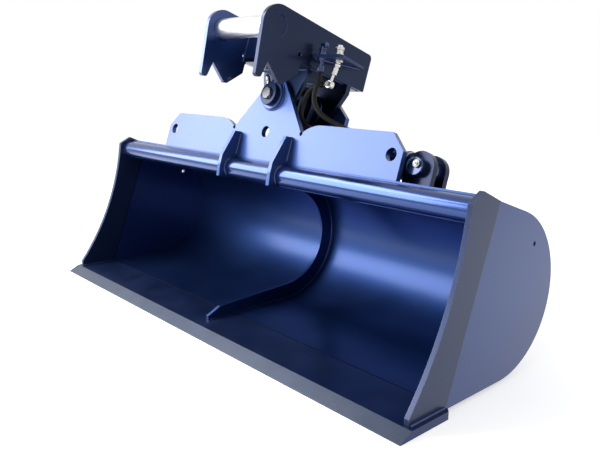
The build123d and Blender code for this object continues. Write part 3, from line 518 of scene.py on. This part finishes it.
shell_beads, shell_seam_shade = Beads(), Beads()
for sign in (-1, 1):
    wall_x = sign * half_inside
    shell_beads.lay(shell_inside(sign * rib_half, 0.080), 0.0026, along_u)
    for x, leg in ((wall_x, 0.0032), (sign * (half_inside + strip_thickness), 0.0035)):
        shell_beads.lay(
            [
                Vector((x, edge_y + blade_nose + 0.004, blade_thickness)),
                Vector((x, edge_y + blade_depth - 0.004, blade_thickness)),
            ],
            leg,
        )
    sheet_x = sign * (half_inside + side_sheet_thickness)
    shell_beads.lay(
        [
            Vector((sheet_x, edge_y + blade_depth, blade_thickness + 0.004)),
            leaning(sheet_x, strip_top_v, sheet_w - 0.004),
        ],
        0.0018,
        along_u,
    )
    # Painted shade: thin near-black lines stand for the shade in the butt seams, along the floor where
    # it meets the edge bar and up the side walls where the strips meet the sheets.
    shell_seam_shade.lay(
        [
            Vector((sign * 0.012, edge_y + blade_depth, blade_thickness - 0.0004)),
            Vector((wall_x - sign * 0.003, edge_y + blade_depth, blade_thickness - 0.0004)),
        ],
        0.0014,
    )
    shell_seam_shade.lay(
        [
            Vector((wall_x, edge_y + blade_depth, blade_thickness + 0.003)),
            leaning(wall_x, strip_top_v, sheet_w - 0.010),
        ],
        0.0014,
        along_u,
    )
shell_beads.lay(
    [
        leaning(-half_inside + 0.004, -0.0005, sheet_w - sheet_thickness - 0.0012),
        leaning(half_inside - 0.004, -0.0005, sheet_w - sheet_thickness - 0.0012),
    ],
    0.0030,
)
shell_beads.finish("shell_welds", "bucket", weld_paint)
# The seam lines take an almost black lacquer, as painted shade.
seam_shade_paint = metal_finish(
    "navy lacquer darkened as painted shade in the seams", (0.0015, 0.003, 0.010), (0.003, 0.005, 0.018), (0.60, 0.75),
    metallic=1.0, edge_radius=0.0003, edge_highlight_amount=0.0, clouds=60.0, grain=1400.0,
)
shell_seam_shade.finish("shell_seam_shade", "bucket", seam_shade_paint)

# Hanger: two laser-cut plates of 15 mm stand on the top sheet, the front one with wings, sling holes
# and a pivot tower, braced by two gussets over the tube. All are fillet welded.
# Painted light: the plates take a lighter copy of the navy lacquer, as if lit by the lamp ahead, and a
# stronger painted highlight on their edges.
lit_plate_paint = metal_finish(
    "navy lacquer on laser-cut plate, painted lighter as if lit", (0.018, 0.050, 0.190), (0.026, 0.068, 0.240), (0.40, 0.48),
    metallic=0.84, edge_radius=0.0012, edge_highlight_colour=(0.10, 0.17, 0.38), edge_highlight_amount=0.5, clouds=4.0,
    grain=420.0, grain_share=0.3, grain_depth=0.00004, dust=0.03, coat=0.7, coat_rough=0.22,
)
dress(lit_plate_paint, "hanger_plate_front", "hanger_plate_rear", "gusset_left", "gusset_right")
dress(lit_plate_paint, "pivot_boss_front", "pivot_boss_rear")
hanger_thickness, hanger_half = 0.015, 0.4995
rear_hanger_v, rear_hanger_half = 0.160, 0.135
gusset_u, gusset_half = 0.113, 0.006
lug_half, lug_faces = 0.040, (0.044, 0.059, 0.091, 0.106)
boss_radius, boss_length = 0.041, 0.010
hanger_beads = Beads()
for v, half in (
    (hanger_thickness, hanger_half),
    (rear_hanger_v, rear_hanger_half),
    (rear_hanger_v + hanger_thickness, rear_hanger_half),
):
    hanger_beads.lay(
        [leaning(-half + 0.003, v, sheet_w), leaning(half - 0.003, v, sheet_w)], 0.0048
    )
for v in lug_faces:
    hanger_beads.lay(
        [
            leaning(ram_base_u - lug_half + 0.002, v, sheet_w),
            leaning(ram_base_u + lug_half - 0.002, v, sheet_w),
        ],
        0.0038,
    )
for sign in (-1, 1):
    for face in (-gusset_half, gusset_half):
        u = sign * gusset_u + face
        hanger_beads.lay(
            [leaning(u, 0, sheet_w + 0.004), leaning(u, 0, sheet_w + 0.070)], 0.0036, along_u
        )
        arc = [radians(100 + 6 * i) for i in range(28)]
        hanger_beads.lay(
            [leaning(u, tube_radius * cos(t), tube_w + tube_radius * sin(t)) for t in arc],
            0.0034,
            along_u,
        )
hanger_beads.ring(leaning(0, 0, 0), along_v, boss_radius, 0.0034)
hanger_beads.ring(leaning(0, rear_hanger_v + hanger_thickness, 0), along_v, boss_radius, 0.0034)
hanger_beads.finish("hanger_welds", "bucket", weld_paint)

# Pivot pin: one turned steel pin of 50 mm through the hub, with a collar on its nose, a keeper bar
# bolted on behind, and bronze washers at both ends of the hub.
pin_steel = metal_finish(
    "oiled pin steel", (0.10, 0.105, 0.115), (0.17, 0.175, 0.185), (0.24, 0.38),
    edge_radius=0.0006, edge_highlight_colour=(0.42, 0.42, 0.44), clouds=40.0, grain=1600.0, grain_share=0.6,
)
bronze = metal_finish(
    "machined bronze", (0.42, 0.25, 0.09), (0.56, 0.36, 0.15), (0.26, 0.40),
    edge_radius=0.0004, clouds=50.0, grain=1500.0,
)
zinc = metal_finish(
    "zinc plate", (0.56, 0.57, 0.56), (0.78, 0.78, 0.76), (0.20, 0.34),
    edge_radius=0.0005, edge_highlight_colour=(0.90, 0.90, 0.88), clouds=90.0, grain=1800.0, grain_share=0.5,
)
dress(pin_steel, "pivot_pin", "rod_pin_middle", "ram_piston")
# The keepers take the same lighter copy, as painted light.
dress(lit_plate_paint, "pivot_keeper", "ram_base_keeper")
dress(zinc, "pivot_keeper_bolts")
dress(bronze, "thrust_washers", "pivot_bush_front", "pivot_bush_rear", "ram_base_bush", "rod_eye_bush")


def turned(name, outline, base, axis, body, material, around=40):
    """A lathe-turned piece: outline is a list of (height along the axis, radius)."""
    axis = axis.normalized()
    one = axis.orthogonal().normalized()
    other = axis.cross(one)
    vertices = []
    for height, radius in outline:
        for k in range(around):
            turn = 2 * pi * k / around
            vertices.append(base + axis * height + (one * cos(turn) + other * sin(turn)) * radius)
    return make_piece(name, vertices, tube_faces(len(outline), around), body, material)


def hexagon(name, base, axis, across_flats, height, body, material, facing=None):
    """A hexagon nut or head, its top corners turned off."""
    axis = axis.normalized()
    one = facing or axis.orthogonal().normalized()
    one = (one - axis * one.dot(axis)).normalized()
    other = axis.cross(one)
    corner = across_flats / 2 / cos(pi / 6)
    levels = ((0, 0.93), (0.12, 1.0), (0.86, 1.0), (1.0, 0.90))
    around = 36
    vertices = []
    for level, share in levels:
        for k in range(around):
            turn = 2 * pi * k / around
            flat = across_flats / 2 / cos((turn % (pi / 3)) - pi / 6)
            out = (one * cos(turn) + other * sin(turn)) * min(flat, corner * share)
            vertices.append(base + axis * height * level + out)
    faces = tube_faces(len(levels), around)
    return make_piece(name, vertices, faces, body, material, sharp=radians(25))


# Greasing: a plated extension screwed into the flat of the collar, closed by a black rubber cap, and
# a plated nipple in the head of the ram's base pin.
rubber_cap = metal_finish(
    "black rubber cap", (0.012, 0.012, 0.013), (0.024, 0.024, 0.025), (0.48, 0.62), metallic=0.0,
    edge_radius=0.0006, clouds=80.0, grain=1500.0,
)
dress(rubber_cap, "pivot_grease_cap", "ram_wiper", "ram_piston_seal")
collar_half, collar_flat, fitting_lift = 0.007, 0.028, radians(60)
collar_middle = -boss_length - collar_half
nipple_out = -along_u * cos(fitting_lift) + along_w * sin(fitting_lift)
nipple_seat = leaning(0, collar_middle, 0) + nipple_out * collar_flat
fitting = turned(
    "grease_extension",
    [
        (0.000, 0.0054), (0.006, 0.0054), (0.0062, 0.0066), (0.0128, 0.0066), (0.0130, 0.0050),
        (0.0142, 0.0050), (0.0146, 0.0068), (0.0200, 0.0068), (0.0204, 0.0063), (0.0216, 0.0063),
        (0.0220, 0.0068), (0.0262, 0.0068), (0.0278, 0.0056), (0.0280, 0.0040),
    ],
    nipple_seat, nipple_out, "bucket", zinc,
)
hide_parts("pivot_grease_fitting")
hexagon(
    "grease_extension_nut", nipple_seat + nipple_out * 0.006, nipple_out,
    0.0116, 0.0066, "bucket", zinc,
)
nipple_offset, pin_head_reach = 0.006, 0.018
nipple_base = leaning(
    ram_base_u + nipple_offset, lug_faces[0] - pin_head_reach, ram_base_w + nipple_offset
)
nipple = turned(
    "base_pin_nipple",
    [
        (0.000, 0.0050), (0.0066, 0.0050), (0.0068, 0.0034), (0.0076, 0.0022), (0.0090, 0.0022),
        (0.0100, 0.0034), (0.0112, 0.0033), (0.0119, 0.0020), (0.0120, 0.0008),
    ],
    nipple_base, -along_v, "bucket", zinc,
)
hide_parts("ram_base_grease_fitting")
hexagon("base_pin_nipple_hex", nipple_base, -along_v, 0.0180, 0.0058, "bucket", pin_steel)

# Tilting head: two 12 mm side plates round a floor, a front cross plate and a rear lock plate, with
# the bright hitch pin between their rounded noses. Under the floor two webs hold the hub.
# Painted shade: the head's right side plate, floor, lock plate, webs, hub, crank plates and collar take
# a darker copy of the navy lacquer, for the shade they stand in; the left side plate keeps the plain
# navy.
shaded_head_paint = metal_finish(
    "navy lacquer on the head, painted darker for shade", (0.007, 0.013, 0.040), (0.013, 0.024, 0.064), (0.32, 0.42),
    metallic=0.95, edge_radius=0.0014, edge_highlight_colour=(0.12, 0.17, 0.34), edge_highlight_amount=0.6, clouds=5.0,
    grain=420.0, grain_share=0.3, grain_depth=0.00004, dust=0.04, coat=0.25, coat_rough=0.15,
)
dress(shaded_head_paint, "head_side_plate_right", "head_floor_plate", "head_lock_plate", "pivot_collar")
dress(shaded_head_paint, "head_web_front", "head_web_rear", "hub_tube")
dress(shaded_head_paint, "crank_plate_front", "crank_plate_rear")
dress(navy_paint, "head_side_plate_left")
shelf_paint = metal_finish(
    "navy undercoat on the shelf", (0.014, 0.030, 0.100), (0.022, 0.042, 0.130), (0.55, 0.68),
    metallic=0.0, edge_radius=0.0010, edge_highlight_colour=(0.03, 0.05, 0.14), clouds=8.0, grain=500.0,
)
shelf_paint.node_tree.nodes["Principled BSDF"].inputs["Specular IOR Level"].default_value = 0.2
dress(shelf_paint, "coupler_bracket")
# The cross plate and the rod pin's ends take the lighter copy too, as painted light.
dress(lit_plate_paint, "rod_pin_ends", "head_cross_plate")
collar_face = -boss_length - 2 * collar_half
hexagon("pivot_nose_bolt", leaning(0, collar_face, 0), -along_v, 0.030, 0.007, "bucket", pin_steel)
bright_steel = metal_finish(
    "bright drawn steel", (0.62, 0.63, 0.65), (0.76, 0.77, 0.79), (0.30, 0.44),
    edge_radius=0.0008, edge_highlight_colour=(0.85, 0.86, 0.88), clouds=30.0, grain=1200.0, grain_share=0.5,
)
dress(bright_steel, "hitch_pin")
head_half, head_plate, floor_w = 0.126, 0.012, 0.0805
bay_half = head_half - head_plate
# The hitch pin's ends are painted: the right one with the darker copy as painted shade, the left one
# with the plain navy.
pin_mesh = frame["nodes"]["hitch_pin"].data
pin_mesh.materials.append(shaded_head_paint)
pin_mesh.materials.append(navy_paint)
for polygon in pin_mesh.polygons:
    if abs(polygon.center.x) > bay_half - 0.001:
        polygon.material_index = 1 if polygon.center.x > 0 else 2
cross_v, cross_top, lock_v, lock_top = -0.050, 0.172, 0.196, 0.172
hitch_pin_radius, hitch_v, hitch_w = 0.0275, -0.1403, 0.1428
hub_radius, hub_front, hub_rear = 0.045, 0.017, 0.158
web_thickness, front_web_half, rear_web_half = 0.015, 0.090, 0.112
floor_top = floor_w + head_plate
head_beads = Beads()
for sign in (-1, 1):
    u = sign * bay_half
    for line, leg, side in (
        ([(cross_v + 0.014, floor_top), (lock_v - 0.002, floor_top)], 0.0040, along_w),
        ([(cross_v + 0.060, floor_w + 0.001), (lock_v + 0.004, floor_w + 0.001)], 0.0040, along_w),
        ([(cross_v, floor_w + 0.002), (cross_v, cross_top - 0.002)], 0.0036, along_u),
        ([(lock_v, floor_top), (lock_v, lock_top - 0.002)], 0.0036, along_u),
    ):
        head_beads.lay([leaning(u, v, w) for v, w in line], leg, side)
    head_beads.ring(leaning(u, hitch_v, hitch_w), along_u, hitch_pin_radius, 0.0036)
    pin_end = leaning(sign * (head_half - 0.0022), hitch_v, hitch_w)
    head_beads.ring(pin_end, along_u, hitch_pin_radius + 0.0008, 0.0020)
cross_back = cross_v + head_plate
head_beads.lay(
    [leaning(-bay_half, cross_back, floor_top), leaning(bay_half, cross_back, floor_top)], 0.0036
)
for face_v, half in (
    (hub_front, front_web_half),
    (hub_front + web_thickness, front_web_half),
    (hub_rear - web_thickness, rear_web_half),
):
    head_beads.lay([leaning(-half, face_v, floor_w), leaning(half, face_v, floor_w)], 0.0036)
    if face_v != hub_front:
        head_beads.ring(leaning(0, face_v, 0), along_v, hub_radius, 0.0036)
for face_v in (lug_faces[0], lug_faces[3]):
    head_beads.ring(leaning(0, face_v, 0), along_v, hub_radius, 0.0034)
for rise in (shelf_thickness, 0):
    head_beads.lay(
        [shelf_point(head_half, 0.002, rise), shelf_point(head_half, 0.180, rise)], 0.0032
    )
head_beads.finish("head_welds", "tilt_head", weld_paint)

# Tilt ram: a painted barrel with welded port bosses, a screwed-in gland and a chromed rod with a
# forged eye. Its base eye sits between the lugs on the top sheet.
chrome = metal_finish(
    "hard chrome", (0.60, 0.61, 0.64), (0.66, 0.67, 0.70), (0.05, 0.10),
    edge_radius=0.0005, clouds=20.0, grain=2200.0, grain_share=0.3, grain_depth=0.000004,
)
ram_paint = metal_finish(
    "navy lacquer on the ram", (0.012, 0.034, 0.130), (0.018, 0.046, 0.165), (0.28, 0.38),
    metallic=0.8, edge_radius=0.0010, edge_highlight_colour=(0.08, 0.12, 0.26), clouds=8.0, grain=500.0,
    grain_share=0.3, grain_depth=0.00003, dust=0.05, coat=1.0, coat_rough=0.08,
)
dress(ram_paint, "ram_barrel", "ram_base_eye", "ram_gland", "ram_rod_eye", "ram_base_pin")
# The ram's lugs take the head's darker copy, as painted shade.
dress(shaded_head_paint, "ram_lug_front", "ram_lug_rear")
dress(chrome, "ram_rod")
barrel_radius, cap_station = 0.035, 0.058
ram_beads = Beads()
ram_beads.ring(ram_base + ram_along * cap_station, ram_along, barrel_radius - 0.0008, 0.0026)
for station in port_stations:
    ram_beads.ring(
        ram_base + ram_along * station + port_out * (barrel_radius - 0.001), port_out, 0.011, 0.0024
    )
ram_beads.finish("ram_welds", "ram_cylinder", weld_paint)


# Couplers: two quick-coupling halves stand on the shelf, each with a lock nut below, a hexagon, a
# grooved sleeve and a flat-faced tip. The outer one is plated, the inner one was painted over, and its
# dark navy is also painted shade for the shade it sits in under the head.
def quick_coupler(name, place, tall, stout, material):
    """One coupler through the shelf, in place of its plain node."""
    foot, face = shelf_point(*place, 0), shelf_thickness
    outline = [
        (0.0080, 0.0080), (0.0160, 0.0080), (0.0162, 0.0106), (0.0180, 0.0110), (0.0205, 0.0110),
        (0.0210, 0.0101), (0.0225, 0.0101), (0.0230, 0.0110), (0.0262, 0.0110), (0.0268, 0.0103),
        (0.0280, 0.0124), (0.0286, 0.0130), (0.0300, 0.0130), (0.0304, 0.0122), (0.0314, 0.0122),
        (0.0318, 0.0130), (0.0332, 0.0130), (0.0336, 0.0122), (0.0346, 0.0122), (0.0350, 0.0130),
        (0.0362, 0.0130), (0.0370, 0.0120), (0.0372, 0.0086), (0.0382, 0.0080), (0.0428, 0.0080),
        (0.0438, 0.0070), (0.0438, 0.0052), (0.0430, 0.0050), (0.0430, 0.0020),
    ]
    above = [(face + (rise - face) * tall, radius * stout) for rise, radius in outline]
    body = turned(
        f"coupler_body_{name}", [(-lock_nut_height, 0.0080)] + above,
        foot, shelf_up, "tilt_head", material,
    )
    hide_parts(f"quick_coupler_{name}")
    nut = hexagon(
        f"coupler_nut_{name}", foot - shelf_up * lock_nut_height, shelf_up,
        0.0205, lock_nut_height, "tilt_head", material,
    )
    hexed = hexagon(
        f"coupler_hex_{name}", foot + shelf_up * face, shelf_up,
        0.0222 * stout, 0.008 * tall, "tilt_head", material,
    )


quick_coupler("outer", outer_place, 0.80, 0.96, zinc)
quick_coupler("inner", inner_place, 0.62, 0.74, ram_paint)
# The inner elbow is in the same dark navy lacquer, as painted shade.
elbow_rise = 0.0335
elbow = turned(
    "coupler_elbow_inner",
    [
        (-0.006, 0.0030), (-0.005, 0.0056), (0.008, 0.0056), (0.0085, 0.0066), (0.0135, 0.0066),
        (0.0140, 0.0050),
    ],
    shelf_point(*inner_place, elbow_rise), along_u, "tilt_head", ram_paint, around=24,
)

# Unions: under the outer coupler a short plated tube leads to a banjo, under the inner one stands a
# straight tail in dark navy lacquer, which is painted shade for the shade under the shelf. On the ram
# two banjos are bolted to the ports, each with a crimped ferrule.
ferrule_outline = [
    (0.0000, 0.0060), (0.0006, 0.0086), (0.0030, 0.0090), (0.0036, 0.0082), (0.0048, 0.0082),
    (0.0054, 0.0090), (0.0076, 0.0090), (0.0082, 0.0083), (0.0094, 0.0083), (0.0100, 0.0090),
    (0.0122, 0.0090), (0.0128, 0.0083), (0.0140, 0.0083), (0.0146, 0.0090), (0.0168, 0.0088),
    (0.0176, 0.0080), (0.0176, 0.0072),
]
outer_foot = shelf_point(*outer_place, -lock_nut_height)
union_down = (banjo_centre - outer_foot).normalized()
union_length = (banjo_centre - outer_foot).length
union_sleeve = (
    (0.057, 0.0040), (0.056, 0.0084), (0.050, 0.0084), (0.0495, 0.0060), (0.046, 0.0060),
    (0.0455, 0.0080), (0.041, 0.0080), (0.0405, 0.0073), (0.039, 0.0073), (0.0385, 0.0080),
    (0.034, 0.0080), (0.0335, 0.0073), (0.032, 0.0073), (0.0315, 0.0080), (0.028, 0.0080),
    (0.027, 0.0066), (0.026, 0.0040), (0.006, 0.0040),
)
tube_line = turned(
    "union_tube_outer",
    [(0.0000, 0.0070), (0.0030, 0.0070), (0.0034, 0.0040)]
    + [(union_length - above, radius) for above, radius in union_sleeve],
    outer_foot, union_down, "tilt_head", zinc,
)
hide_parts("coupler_union_outer")
hexagon(
    "union_hex_outer", outer_foot + union_down * (union_length - 0.056), union_down,
    0.0156, 0.006, "tilt_head", zinc,
)
banjo = turned(
    "banjo_outer",
    [
        (-banjo_half, 0.0060), (-banjo_half, 0.0100), (-0.0062, 0.0110), (0.0062, 0.0110),
        (banjo_half, 0.0100), (banjo_half, 0.0060),
    ],
    banjo_centre, -along_v, "tilt_head", zinc,
)
hexagon(
    "banjo_bolt_outer", banjo_centre - along_v * banjo_half, -along_v,
    0.0130, 0.004, "tilt_head", pin_steel,
)
turned(
    "banjo_tail_outer",
    [(0.006, 0.0052), (0.0125, 0.0052), (0.0130, 0.0068), (0.0170, 0.0070), (0.0180, 0.0064)],
    banjo_centre, -along_u, "tilt_head", zinc, around=24,
)
inner_foot = shelf_point(*inner_place, -lock_nut_height)
straight = turned(
    "union_tube_inner",
    [
        (0.0000, 0.0072), (0.0040, 0.0072), (0.0044, 0.0060), (0.0096, 0.0060), (0.0100, 0.0086),
        (0.0120, 0.0090), (0.0136, 0.0090), (0.0140, 0.0083), (0.0156, 0.0083), (0.0160, 0.0090),
        (0.0186, 0.0090), (0.0190, 0.0083), (0.0206, 0.0083), (0.0210, 0.0090), (0.0238, 0.0090),
        (0.0242, 0.0083), (0.0258, 0.0083), (0.0262, 0.0090), (0.0276, 0.0086),
        (inner_union_length, 0.0072),
    ],
    inner_foot, -shelf_up, "tilt_head", ram_paint,
)
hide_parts("coupler_union_inner")
port_pieces = []
for port, station in zip(("base", "gland"), port_stations):
    seat = ram_base + ram_along * station + port_out * port_height
    middle = seat + port_out * banjo_half
    ring = turned(
        f"port_banjo_{port}",
        [
            (-0.0010, 0.0085), (0.0000, 0.0085), (0.0002, 0.0112), (0.0012, 0.0120), (0.0128, 0.0120),
            (0.0138, 0.0112), (0.0140, 0.0088), (0.0152, 0.0088),
        ],
        seat, port_out, "ram_cylinder", zinc,
    )
    bolt = hexagon(
        f"port_bolt_{port}", seat + port_out * 0.0145, port_out,
        0.0156, 0.0064, "ram_cylinder", zinc, ram_along,
    )
    tail = turned(
        f"port_tail_{port}",
        [(0.008, 0.0055), (0.0165, 0.0055), (0.0168, 0.0066), (0.0180, 0.0068)],
        middle, ram_along, "ram_cylinder", zinc, around=24,
    )
    sleeve = turned(
        f"port_ferrule_{port}", ferrule_outline,
        middle + ram_along * 0.0164, ram_along, "ram_cylinder", zinc, around=32,
    )
    port_pieces += [ring, bolt, tail, sleeve]
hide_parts("ram_port_unions")


# Hose cover: black rubber with the print of the cloth it was cured in, a fine lattice of ribs that
# lies aslant along the hose.
def cloth_print_group():
    """Two crossed sets of fine ribs over the texture map of a hose."""
    tree, start, end = node_group(
        "cloth print", (("Rib pitch", "Float", 0.0016), ("Slant", "Float", 0.9)), (("Height", "Float"),)
    )
    place = add(tree, "UVMap", {"uv_map": "cover"})
    parts = add(tree, "SeparateXYZ", Vector=place.outputs[0])
    slanted = add(
        tree, "Math", {"operation": "MULTIPLY"}, _0=parts.outputs["X"], _1=start.outputs["Slant"]
    )
    rate = add(tree, "Math", {"operation": "DIVIDE"}, _0=2 * pi, _1=start.outputs["Rib pitch"])
    ribs = []
    for operation in ("ADD", "SUBTRACT"):
        across = add(
            tree, "Math", {"operation": operation}, _0=parts.outputs["Y"], _1=slanted.outputs[0]
        )
        phase = add(tree, "Math", {"operation": "MULTIPLY"}, _0=across.outputs[0], _1=rate.outputs[0])
        ribs.append(add(tree, "Math", {"operation": "SINE"}, _0=phase.outputs[0]).outputs[0])
    both = add(tree, "Math", {"operation": "MAXIMUM"}, _0=ribs[0], _1=ribs[1])
    tree.links.new(both.outputs[0], end.inputs["Height"])
    return tree


hose_cover = bpy.data.materials.new("hose cover")
hose_cover.use_nodes = True
hose_tree = hose_cover.node_tree
hose_shader = hose_tree.nodes["Principled BSDF"]
cloth = add(hose_tree, "Group", {"node_tree": cloth_print_group()})
hose_grain = add(hose_tree, "Group", {"node_tree": surface_grain}, Cloud_scale=30.0, Grain_scale=1600.0)
hose_colour = add(
    hose_tree, "Mix", {"data_type": "RGBA"}, Factor=hose_grain.outputs["Value"],
    _6=(0.0035, 0.0035, 0.0040, 1), _7=(0.0090, 0.0090, 0.0100, 1),
)
hose_rough = add(hose_tree, "MapRange", _0=hose_grain.outputs["Value"], To_Min=0.40, To_Max=0.58)
hose_relief = add(hose_tree, "Bump", Height=cloth.outputs["Height"], Distance=0.00012, Strength=0.6)
hose_tree.links.new(hose_colour.outputs[2], hose_shader.inputs["Base Color"])
hose_tree.links.new(hose_rough.outputs[0], hose_shader.inputs["Roughness"])
hose_tree.links.new(hose_relief.outputs[0], hose_shader.inputs["Normal"])
hose_shader.inputs["Specular IOR Level"].default_value = 0.18
for hose in hoses.values():
    hose.data.materials.append(hose_cover)

# Studio: a plain pale floor under a white surround, a broad soft lamp ahead on the left that the
# plates mirror, a second one higher up that the tube mirrors, and a weak fill from the right.
floor_half = 6.0
floor_corners = [(x * floor_half, y * floor_half, 0) for x, y in ((-1, -1), (1, -1), (1, 1), (-1, 1))]
floor_mesh = bpy.data.meshes.new("studio floor")
floor_mesh.from_pydata(floor_corners, [], [(0, 1, 2, 3)])
floor = bpy.data.objects.new("studio floor", floor_mesh)
bpy.context.scene.collection.objects.link(floor)


def background_rays(tree):
    """1 for the rays that show the background: the camera's, and those of metal and glass."""
    ray = add(tree, "LightPath")
    seen = ray.outputs["Is Camera Ray"]
    for kind in ("Is Glossy Ray", "Is Transmission Ray"):
        seen = add(tree, "Math", {"operation": "MAXIMUM"}, _0=seen, _1=ray.outputs[kind]).outputs[0]
    return seen


floor_white = bpy.data.materials.new("floor white")
floor_white.use_nodes = True
floor_tree = floor_white.node_tree
floor_shader = floor_tree.nodes["Principled BSDF"]
floor_shader.inputs["Base Color"].default_value = (0.92, 0.92, 0.92, 1)
floor_shader.inputs["Roughness"].default_value = 0.9
floor_shader.inputs["Emission Color"].default_value = (1, 1, 1, 1)
shine = add(floor_tree, "Math", {"operation": "MULTIPLY"}, _0=background_rays(floor_tree), _1=0.50)
floor_tree.links.new(shine.outputs[0], floor_shader.inputs["Emission Strength"])
floor_mesh.materials.append(floor_white)
world = bpy.data.worlds.new("studio surround")
bpy.context.scene.world = world
world.use_nodes = True
world_tree = world.node_tree
level = add(world_tree, "Mix", Factor=background_rays(world_tree), _2=0.55, _3=1.0)
world_tree.nodes["Background"].inputs["Color"].default_value = (1, 1, 1, 1)
world_tree.links.new(level.outputs[0], world_tree.nodes["Background"].inputs["Strength"])
for name, place, target, width, height, power in (
    ("broad lamp", (-1.50, -1.45, 1.25), (0.0, 0.0, 0.45), 1.9, 1.2, 52),
    ("tube lamp", (-1.30, -1.00, 2.08), (0.0, -0.1, 0.45), 1.3, 0.70, 30),
    ("fill lamp", (2.20, 0.60, 1.60), (0.3, 0.0, 0.40), 1.4, 1.0, 6),
):
    lamp = bpy.data.lights.new(name, "AREA")
    lamp.shape = "RECTANGLE"
    lamp.size, lamp.size_y, lamp.energy = width, height, power
    holder = bpy.data.objects.new(name, lamp)
    holder.location = place
    holder.rotation_euler = (Vector(target) - Vector(place)).to_track_quat("-Z", "Y").to_euler()
    bpy.context.scene.collection.objects.link(holder)
bpy.context.scene.view_settings.view_transform = "Standard"
